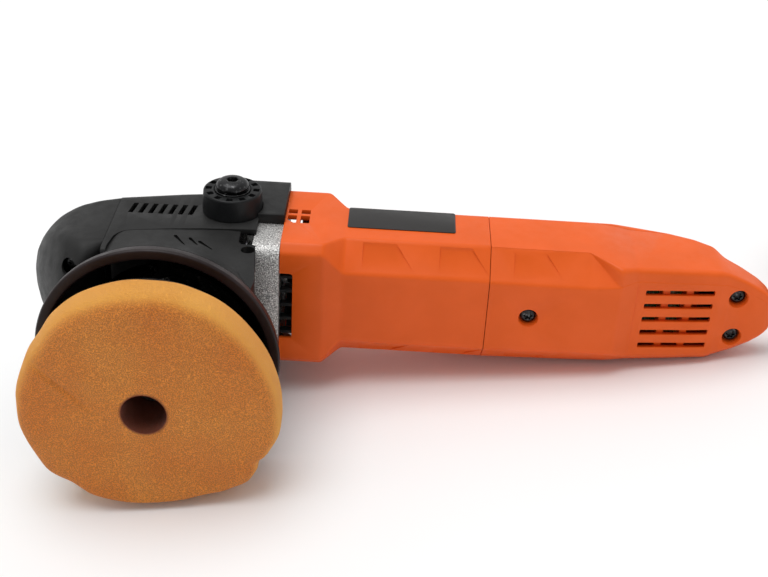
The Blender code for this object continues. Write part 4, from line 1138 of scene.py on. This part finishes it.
# %% Build the nose
NOSE_STATIONS = (
    (-38.3, 41.8, -46.0, 25.0, 3.0, 15.0),
    (-50.0, 41.2, -56.0, 21.5, 9.0, 15.0),
    (-62.0, 38.8, -53.0, 17.0, 14.0, 14.0),
    (-73.0, 33.5, -41.0, 11.0, 16.0, 13.0),
    (-81.0, 25.0, -29.5, 4.5, 13.5, 12.0),
    (-85.5, 15.5, -20.0, -1.0, 8.0, 8.0),
    (-87.0, 8.0, -14.5, -6.0, 4.0, 4.0),
)[::-1]
FLARE = ((-35.0, 42.1), (-48.0, 43.6), (-60.0, 52.6), (-74.0, 61.6), (-100.0, 68.6))
nose_rings = body_rings(NOSE_STATIONS, 0, 3.6, 12.0)
nose = lofted("nose_cover_shell", nose_rings, black_cover, smooth=60)
inner = body_rings(NOSE_STATIONS[1:], WALL, 3.6, 9.0)
for p in inner[-1]:
    p.x += 1.0
nose_hole = ((-80.0, 5.2), (-46.0, 5.0))
carve(
    nose, lofted("nose_room", inner, black_cover),
    turned("flare", "Y", FLARE, black_cover, bored=False, segments=72),
    turned("nose_hole", "Y", nose_hole, black_cover, (-56.0, 0, 27.5), 32, bored=False),
    smooth=50,
)
soften(nose, 0.4, 50)
place(nose, "housing", "black_cover", "nose_cover")

# %% [markdown]
# ## The lower case
# The lower case starts as a rounded box under the gears and ends as a circle round the pad. Each of its
# rings is a blend of a superellipse and a circle, and an easing along Y makes one flowing flare. Its top
# edge follows the seam. It carries an ear for the strap of a hose, and three slanting cuts as decoration.

# %% Build the lower case
CASE_LEVELS = (  # Y, share of the circle, radius of the circle
    (-20.0, 0.0, 60.0), (-44.0, 0.0, 60.0), (-54.0, 0.1, 55.0), (-66.0, 0.42, 57.0), (-77.0, 0.76, 61.6),
    (-85.0, 0.94, 64.6), (-89.5, 1.0, 66.3),
)


def case_ring(y, share, radius, inset, steps=96):
    front, back, side, power = 38.0, 44.5, 42.2, 11.0
    ring = []
    for i in range(steps):
        angle = 2 * pi * i / steps
        c, s = cos(angle), sin(angle)
        long_side = (back if c > 0 else front) - inset
        boxed = (abs(c / long_side) ** power + abs(s / (side - inset)) ** power) ** (-1 / power)
        reach = (1 - share) * boxed + share * (radius - inset)
        ring.append(Vector((reach * c, y, reach * s)))
    return ring


def case_rings(start, end, inset, count):
    levels = [(-y, share, radius) for y, share, radius in CASE_LEVELS]
    rings = []
    for k in range(count + 1):
        y = -(start + (end - start) * k / count)
        rings.append(case_ring(-y, *eased(levels, y, 5.0), inset))
    return rings


lower_case = lofted("lower_case_shell", case_rings(-20.0, -89.5, 0.0, 34), black_cover)
ear = slab("ear", oblong((30.0, -55.0), (47.5, -38.2), 2.5), "Z", 26.0, 41.2, black_cover)
WEB_LEVELS = ((-48.0, 47.6, 41.3), (-62.0, 49.5, 41.2), (-76.0, 50.5, 39.0), (-86.0, 48.0, 36.0))
web = bmesh.new()
for side in (-1, 1):
    rings = []
    for y, x_far, z_far in WEB_LEVELS:
        ring = ((30.0, 26.0), (x_far, 26.0), (x_far, z_far), (30.0, z_far))
        rings.append([Vector((x, y, side * z)) for x, z in ring])
    skin(web, rings)
fuse(lower_case, ear, made("web", web, black_cover))
above = pushed(bmesh.new(), seam_outline(-0.35, 30.0), "Z", -60.0, 60.0)
for point in above.verts:
    if point.co.x < -35.2:
        point.co.x = -60.0
upper_room = [case_ring(y, 0.0, 60.0, WALL + 1.1) for y in (-10.0, -41.0)]
lower_room = case_rings(-45.0, -89.5, WALL, 24) + [case_ring(-95.0, 1.0, 67.0, WALL)]
carve(
    lower_case, made("above", above, black_cover), lofted("upper_room", upper_room, black_cover),
    lofted("lower_room", lower_room, black_cover),
)
cuts = bmesh.new()
skin(cuts, turned_rings("Y", ((-46.0, 20.5), (-40.0, 20.5)), segments=64))
skin(cuts, turned_rings("Y", ((-46.0, 2.4), (-40.0, 2.4)), (-12.0, 0, 26.0), 24))
skin(cuts, turned_rings("Z", ((27.0, 4.0), (50.0, 4.0)), (43.6, -44.4, 0), 32))
SLASHES = (((1.0, -34.4), (7.5, -44.0)), ((9.7, -36.4), (14.7, -43.4)), ((15.6, -39.7), (23.5, -48.0)))
SLASH_HALF_WIDTH = 1.05
for start, end in SLASHES:
    a, b = Vector(start), Vector(end)
    along = (b - a).normalized()
    aside = Vector((along.y, -along.x)) * SLASH_HALF_WIDTH
    slash = [a - along, a + aside, b + aside * 0.4, b + along * 1.5, b - aside * 0.4, a - aside]
    pushed(cuts, slash, "Z", 40.4, 46.0)
corner = slab("corner", oblong((37.2, -37.6), (47.0, -20.0), 3.0), "Z", 29.0, 48.0, black_cover)
carve(lower_case, made("cuts", cuts, black_cover), corner)
soften(lower_case, 0.35, 45)
place(lower_case, "housing", "black_cover", "lower_gear_case")

# %% The screw in the corner between the covers and the casting
flange_screws = scattered("flange_screws", screw_head(), dark_steel, [(0, 0, 0)], 0.85)
quarter_turn = TURN @ Matrix.Rotation(-pi / 2, 3, "Z") @ TURN.transposed()
flange_place = Matrix.Translation(TOOL @ Vector((40.2, -31.0, 35.0))) @ quarter_turn.to_4x4()
flange_screws.data.transform(flange_place @ Matrix.Translation(-ORIGIN))
place(flange_screws, "housing", "dark_steel")

# %% [markdown]
# ## The ring round the pad
# A soft rubber ring closes the flare. It is a lathe piece: a profile of a few corners, each rounded, spun
# round the spindle's axis. Its inner face is a wide slanting band.

# %% Turn the rubber ring
RIM = ((-89.8, 66.4), (-94.8, 67.2), (-96.3, 66.6), (-96.2, 61.6), (-92.5, 60.2), (-89.8, 61.4))
profile = [(p.x, p.y) for p in rounded(RIM, [0.4, 1.2, 1.0, 1.2, 0.8, 0.4], 5)]
rim = turned("rubber_ring", "Y", profile, shroud_rubber, segments=128)
place(rim, "housing", "shroud_rubber", "shroud_rim")

# %% [markdown]
# ## The side bosses
# On each side a collar takes the bow handle or a side handle. A ring of small notches round its face
# stops the handle from turning. The repeat tree, in its ring mode, makes the twelve cutters. The bolt has
# a button head with a six-sided socket.

# %% Build the two bosses
COLLAR_TOP, BOLT_TOP = 56.5, 64.0


def side_boss(side, name):
    centre = (BOSS_X, 0, 0)
    corners = [(43.3, 17.8), (COLLAR_TOP, 17.1), (COLLAR_TOP, 10.9), (55.1, 10.9), (55.1, 4.6), (43.3, 4.6)]
    collar = [(side * p.x, p.y) for p in rounded(corners, [0.2, 1.4, 0.5, 0.2, 0.3, 0.2], 5)]
    piece = turned(f"collar_{name}", "Z", collar, black_plastic, centre, 96)
    notch = pushed(
        bmesh.new(), rounded([(12.2, -1.7), (15.8, -1.9), (15.8, 1.9), (12.2, 1.7)], 0.5, 3),
        "Z", side * (COLLAR_TOP - 1.8), side * (COLLAR_TOP + 2),
    )
    carve(piece, repeated("notches", notch, black_plastic, 12, ring=pi / 6, centre=centre))
    soften(piece, 0.2, 45)
    place(piece, "housing", "black_cover", f"handle_boss_{name}")

    ring = rounded([(55.45, 4.7), (55.45, 10.4), (56.95, 10.4), (56.95, 4.7)], 0.3, 3)
    ring = [(side * p.x, p.y) for p in ring]
    washer = turned(f"washer_{name}", "Z", ring, dark_steel, centre)
    place(washer, "housing", "dark_steel", f"boss_washer_{name}")

    dome = [(31.3, 4.2), (57.3, 4.2), (57.3, 9.2)]
    dome += [(58.4 + 4.0 * sin(radians(a)), 5.6 + 4.0 * cos(radians(a))) for a in range(0, 85, 12)]
    dome += [(BOLT_TOP - 1.3, 4.2)]
    dome = [(side * z, r) for z, r in dome]
    bolt = turned(f"bolt_{name}", "Z", dome, dark_steel, centre, bored=False)
    hexagon = [(BOSS_X + 3.6 * cos(k * pi / 3), 3.6 * sin(k * pi / 3)) for k in range(6)]
    carve(bolt, slab("socket", hexagon, "Z", side * (BOLT_TOP - 4.6), side * (BOLT_TOP + 2), dark_steel))
    soften(bolt, 0.2, 45)
    place(bolt, "housing", "dark_steel", f"boss_bolt_{name}")


side_boss(1, "left")
side_boss(-1, "right")

# %% [markdown]
# ## The pad's plate
# Under the foam a moulded plate with a soft edge spins on the eccentric spindle. The foam hangs on it by
# a disc of hooks and loops. Both are lathe pieces about the pad's own axis, which is off the spindle's.

# %% Turn the plate and the loop disc
PAD_AXIS = (0, 0, -ORBIT)
plate_corners = [
    (-99.0, 22.0), (-101.0, 58.5), (-103.5, 62.5), (-107.5, 62.5), (-107.5, 9.0), (-103.0, 9.0),
    (-103.0, 4.4), (-99.0, 4.4),
]
plate_profile = rounded(plate_corners, [1, 4, 1.2, 1.2, 0.4, 0.3, 0.2, 0.3], 5)
plate = turned("pad_plate", "Y", [(p.x, p.y) for p in plate_profile], black_plastic, PAD_AXIS, 96)
place(plate, "pad", "black_plastic", "backing_plate")
loop_profile = rounded([(-107.8, 61.5), (-108.9, 61.8), (-108.9, 12.0), (-107.8, 12.0)], 0.3, 3)
loop_ring = turned("hook_and_loop_disc", "Y", [(p.x, p.y) for p in loop_profile], loops, PAD_AXIS, 96)
place(loop_ring, "pad", "loop_fabric", "loop_disc")

# %% [markdown]
# ## The foam pad
# The pad is a thick disc of foam with a round edge and a hole in the middle. It is used and soft: the
# weight of the tool flattens it where it meets the surface, the squeezed foam swells towards the front,
# an old crease runs across its left side, and the lower right of the rim is pinched. Each of these is a
# smooth push on the points of a lathe grid, which keeps full control of the outline. Angles go round the
# pad's axis from +X (the tail side) through +Z (up).

# %% Shape the foam pad
EDGE_ROUND = 9.0
PAD_ROUND, PAD_STEPS = 240, 26


def pad_profile():
    """(Y, radius) from the hole's back edge, out over the back, round the rim, and in over the face."""
    corners = [
        (PAD_BACK_Y, PAD_HOLE + 0.4), (PAD_BACK_Y, PAD_RADIUS - 5), (PAD_BACK_Y - 7, PAD_RADIUS),
        (PAD_FACE_Y, PAD_RADIUS), (PAD_FACE_Y, PAD_HOLE),
    ]
    outline = rounded(corners, [0, 5.0, 12.0, EDGE_ROUND * 1.15, 1.2], 9, closed=False)
    outline.append(Vector((PAD_BACK_Y - 1.0, PAD_HOLE)))
    fine = [outline[0]]
    for a, b in zip(outline, outline[1:]):
        pieces = max(1, round((b - a).length / 1.6))
        fine += [a + (b - a) * (k + 1) / pieces for k in range(pieces)]
    return fine


def hill(distance, width):
    """A smooth push: 1 at no distance, fading over the width."""
    return math.exp(-(distance / width) ** 2)


def turn_between(a, b):
    return (a - b + pi) % (2 * pi) - pi


def rim_at(angle):
    """The rim's radius in this direction, eased between the two nearest values of RIM_AT."""
    turn = math.degrees(turn_between(angle, 0.0))
    for (a, r), (b, q) in zip(RIM_AT, RIM_AT[1:]):
        if turn <= b:
            t = (turn - a) / (b - a)
            return r + (q - r) * t * t * (3 - 2 * t)
    return RIM_AT[-1][1]


# The rim's radius in millimetres at angles in degrees, round the whole pad.
RIM_AT = (
    (-180, 69.5), (-165, 70.8), (-143, 71.3), (-128, 66.2), (-111, 65.2), (-95, 66.5), (-80, 66.2),
    (-64, 65.2), (-48, 69.0), (-39, 70.8), (-34, 70.2), (-29, 67.6), (-22, 70.2), (-12, 71.8), (2, 71.0),
    (18, 70.0), (36, 69.0), (59, 71.0), (72, 70.3), (92, 68.6), (120, 68.2), (136, 67.2), (148, 65.6),
    (160, 66.8), (180, 69.5),
)
FACE_SWELL = ((-90, 40, 5.0), (-125, 24, 2.0), (150, 24, -2.0))


def shaped(y, radius, angle):
    """A point of the lathe grid after all the pushes, in the tool's millimetres."""
    outward = (radius - PAD_HOLE) / (PAD_RADIUS - PAD_HOLE)
    forward = (PAD_BACK_Y - y) / (PAD_BACK_Y - PAD_FACE_Y)
    radius += (rim_at(angle) - PAD_RADIUS) * max(0, outward) ** 3 * (0.6 + 0.4 * forward)
    for middle, width, push in FACE_SWELL:
        swell = push * hill(turn_between(angle, radians(middle)), radians(width))
        y -= swell * max(0, outward) ** 3 * forward ** 2
    y -= 1.6 * (1 - outward ** 2) * forward
    x, z = radius * cos(angle), radius * sin(angle)
    # The crease: a shallow valley along a line over the left of the face.
    line = (x + 46.0) * sin(radians(40)) + (z - 16.0) * cos(radians(40))
    along = (x + 46.0) * cos(radians(40)) - (z - 16.0) * sin(radians(40))
    y += 1.4 * hill(line, 1.6) * hill(along, 22) * forward ** 3
    wander = noise.noise(Vector((x, y, z)) * 0.045) * 1.1
    x, z = x * (1 + wander * 0.008), z * (1 + wander * 0.008)
    y += noise.noise(Vector((x, z, 7.0)) * 0.05) * 0.8 * forward
    return Vector((x, y, z - ORBIT))


pad_bm = bmesh.new()
profile = pad_profile()
pad_rings = []
for i in range(PAD_ROUND):
    angle = 2 * pi * i / PAD_ROUND
    pad_rings.append([shaped(p.x, p.y, angle) for p in profile])
skin(pad_bm, pad_rings, closed_loop=True)
foam_piece = made("foam_pad_skin", pad_bm, foam, smooth=75)

# The surface it stands on: foam that would be below it is pressed up, and bulges a little above.
PRESS_ROOM = 0.012
for vertex in foam_piece.data.vertices:
    height = vertex.co.z
    if height < PRESS_ROOM:
        t = max(0.0, (height + 0.012) / (PRESS_ROOM + 0.012))
        vertex.co.z = 0.0004 + (PRESS_ROOM - 0.0004) * t ** 1.5
# Marks the wall of the middle hole, where the foam's finish paints shade.
hole_shade_values = foam_piece.data.attributes.new("in_hole", "FLOAT", "POINT")
middle = TOOL @ Vector((0, 0, -ORBIT))
axis = (TURN @ Vector((0, 1, 0))).normalized()
for vertex, entry in zip(foam_piece.data.vertices, hole_shade_values.data):
    arm = vertex.co - middle
    from_axis = (arm - axis * arm.dot(axis)).length * 1000
    entry.value = 1.0 if from_axis < PAD_HOLE + 0.6 else 0.0
place(foam_piece, "pad", "orange_foam", "foam_pad")

# %% [markdown]
# ## Strain relief and plug
# Where the cord leaves the handle a tapered rubber sleeve keeps it from kinking. Rings moulded round it
# let it bend. The plug is one moulding with a waist for the fingers, and two round pins.

# %% The strain relief
sleeve = [(338.5, 3.55), (338.5, 4.8), (353.2, 4.8), (353.2, 6.8), (361.5, 6.8)]
SLEEVE_RINGS, SLEEVE_END = 7, 394.0
for i in range(SLEEVE_RINGS):
    x = 362.6 + 4.35 * i
    r = 6.5 - 1.75 * (x - 361.5) / (SLEEVE_END - 361.5)
    sleeve += [(x, r - 0.9), (x + 1.1, r - 0.9), (x + 1.5, r), (x + 3.6, r)]
sleeve += [(SLEEVE_END - 0.4, 4.7), (SLEEVE_END, 4.4), (SLEEVE_END, 3.55)]
relief = turned("cord_sleeve", "X", sleeve, cord_skin, (0, -11.0, 0), 48, smooth=50)
place(relief, "housing", "cord_rubber", "strain_relief")

# %% The plug
PLUG_AT = coil_centre + Vector((-0.0137, -0.032, 0.0399))
PLUG = (
    (0.0, 4.6, 4.6), (1.0, 5.2, 5.2), (13.0, 6.2, 6.2), (17.0, 14.0, 8.2), (22.0, 17.4, 10.2),
    (28.0, 16.2, 9.6), (35.0, 16.0, 9.6), (41.0, 17.2, 10.6), (42.6, 16.8, 10.4), (43.0, 15.8, 9.6),
)
plug_rings = []
for k in range(87):
    along = k / 2
    wide, thick = straight(PLUG, along) if along in (0.0, 43.0) else eased(PLUG, along, 1.5)
    ring = []
    for i in range(56):
        a = 2 * pi * i / 56
        squareness = 2 / (2 + 1.5 * min(1.0, along / 18))
        u = math.copysign(abs(cos(a)) ** squareness, cos(a))
        v = math.copysign(abs(sin(a)) ** squareness, sin(a))
        ring.append(Vector((along, wide * u, thick * v)))
    plug_rings.append(ring)
plug_bm = skin(bmesh.new(), plug_rings)
plug_place = Matrix.Translation(PLUG_AT) @ Matrix.Scale(0.001, 4)
plug = made("mains_plug", plug_bm, black_plastic, 50, plug_place)
pin_profile = [(42.5, 2.4), (60.6, 2.4), (61.6, 1.9), (62.0, 1.1)]
pins = bmesh.new()
for side in (-1, 1):
    skin(pins, turned_rings("X", pin_profile, (0, side * 9.3, 0), 28))
plug_pins = made("plug_pins", pins, bright_steel, 50, plug_place)
place(plug, "housing", "black_plastic", "plug")
place(plug_pins, "housing", "bright_steel")

# %% [markdown]
# ## The solids that stay
# Everything inside keeps the frame's own solid, and only gets a finish: the gears and shafts, the
# bearings, the stator and its windings, the fan, the brushes and the switch's body.

# %% Finish the solids that stay
finishes = {
    "bright_steel": bright_steel, "dark_steel": dark_steel, "lamination_steel": lamination,
    "copper": copper, "carbon": carbon, "black_plastic": black_plastic, "circuit_board": board,
    "cast_aluminium": aluminium,
    "cord_rubber": cord_skin, "black_cover": black_cover, "orange_plastic": orange, "loop_fabric": loops,
    "label_film": label_film, "orange_foam": foam, "shroud_rubber": shroud_rubber,
}
slots = {part["node"]: part["material_slot"] for part in frame["record"]["subparts"]}
kept = 0
for name, node in frame["nodes"].items():
    if not node.hide_render:
        node.data.materials.clear()
        node.data.materials.append(finishes[slots[name]])
        kept += 1
print(kept, "solids stay, with new finishes")

# %% [markdown]
# ## Floor, light and world
# A broad soft light stands high above and a little behind the tool, over a pale surface that throws
# light back up. The world is bright behind the tool and dim on the camera's side, so that the top faces
# come out pale and the near faces keep a deep colour.

# %% Set the stage
SUN, DIM, BRIGHT = 1.75, 0.46, 0.75

light = bpy.data.lights.new("sky_panel", "SUN")
light.energy, light.angle = SUN, radians(50)
lamp = bpy.data.objects.new("sky_panel", light)
lamp.rotation_euler = Vector((0.1, -0.02, -1.0)).to_track_quat("-Z", "Y").to_euler()
bpy.context.scene.collection.objects.link(lamp)

world = bpy.data.worlds.new("studio")
bpy.context.scene.world = world
world.use_nodes = True
sky = world.node_tree
around = sky.nodes.new("ShaderNodeTexCoord")
parts = sky.nodes.new("ShaderNodeSeparateXYZ")
sky.links.new(around.outputs["Generated"], parts.inputs[0])
depth = sky.nodes.new("ShaderNodeMapRange")
depth.inputs["From Min"].default_value = -0.5
depth.inputs["From Max"].default_value = 0.6
depth.inputs["To Min"].default_value = DIM
depth.inputs["To Max"].default_value = BRIGHT
sky.links.new(parts.outputs["Y"], depth.inputs["Value"])
sky.links.new(depth.outputs["Result"], sky.nodes["Background"].inputs["Strength"])
sky.nodes["Background"].inputs["Color"].default_value = (1.0, 1.0, 1.0, 1)

floor_paint = Paint("pale_floor", 0.85)
floor_paint.set("Base Color", floor_paint.blend(
    floor_paint.noise(3, 2), (0.9, 0.9, 0.9, 1), (0.94, 0.94, 0.94, 1),
))
floor_bm = bmesh.new()
bmesh.ops.create_grid(floor_bm, x_segments=2, y_segments=2, size=4.0)
floor = made("floor", floor_bm, floor_paint.material, matrix=Matrix.Translation((0, 0, -0.0003)))
bpy.context.scene.view_settings.view_transform = "Standard"
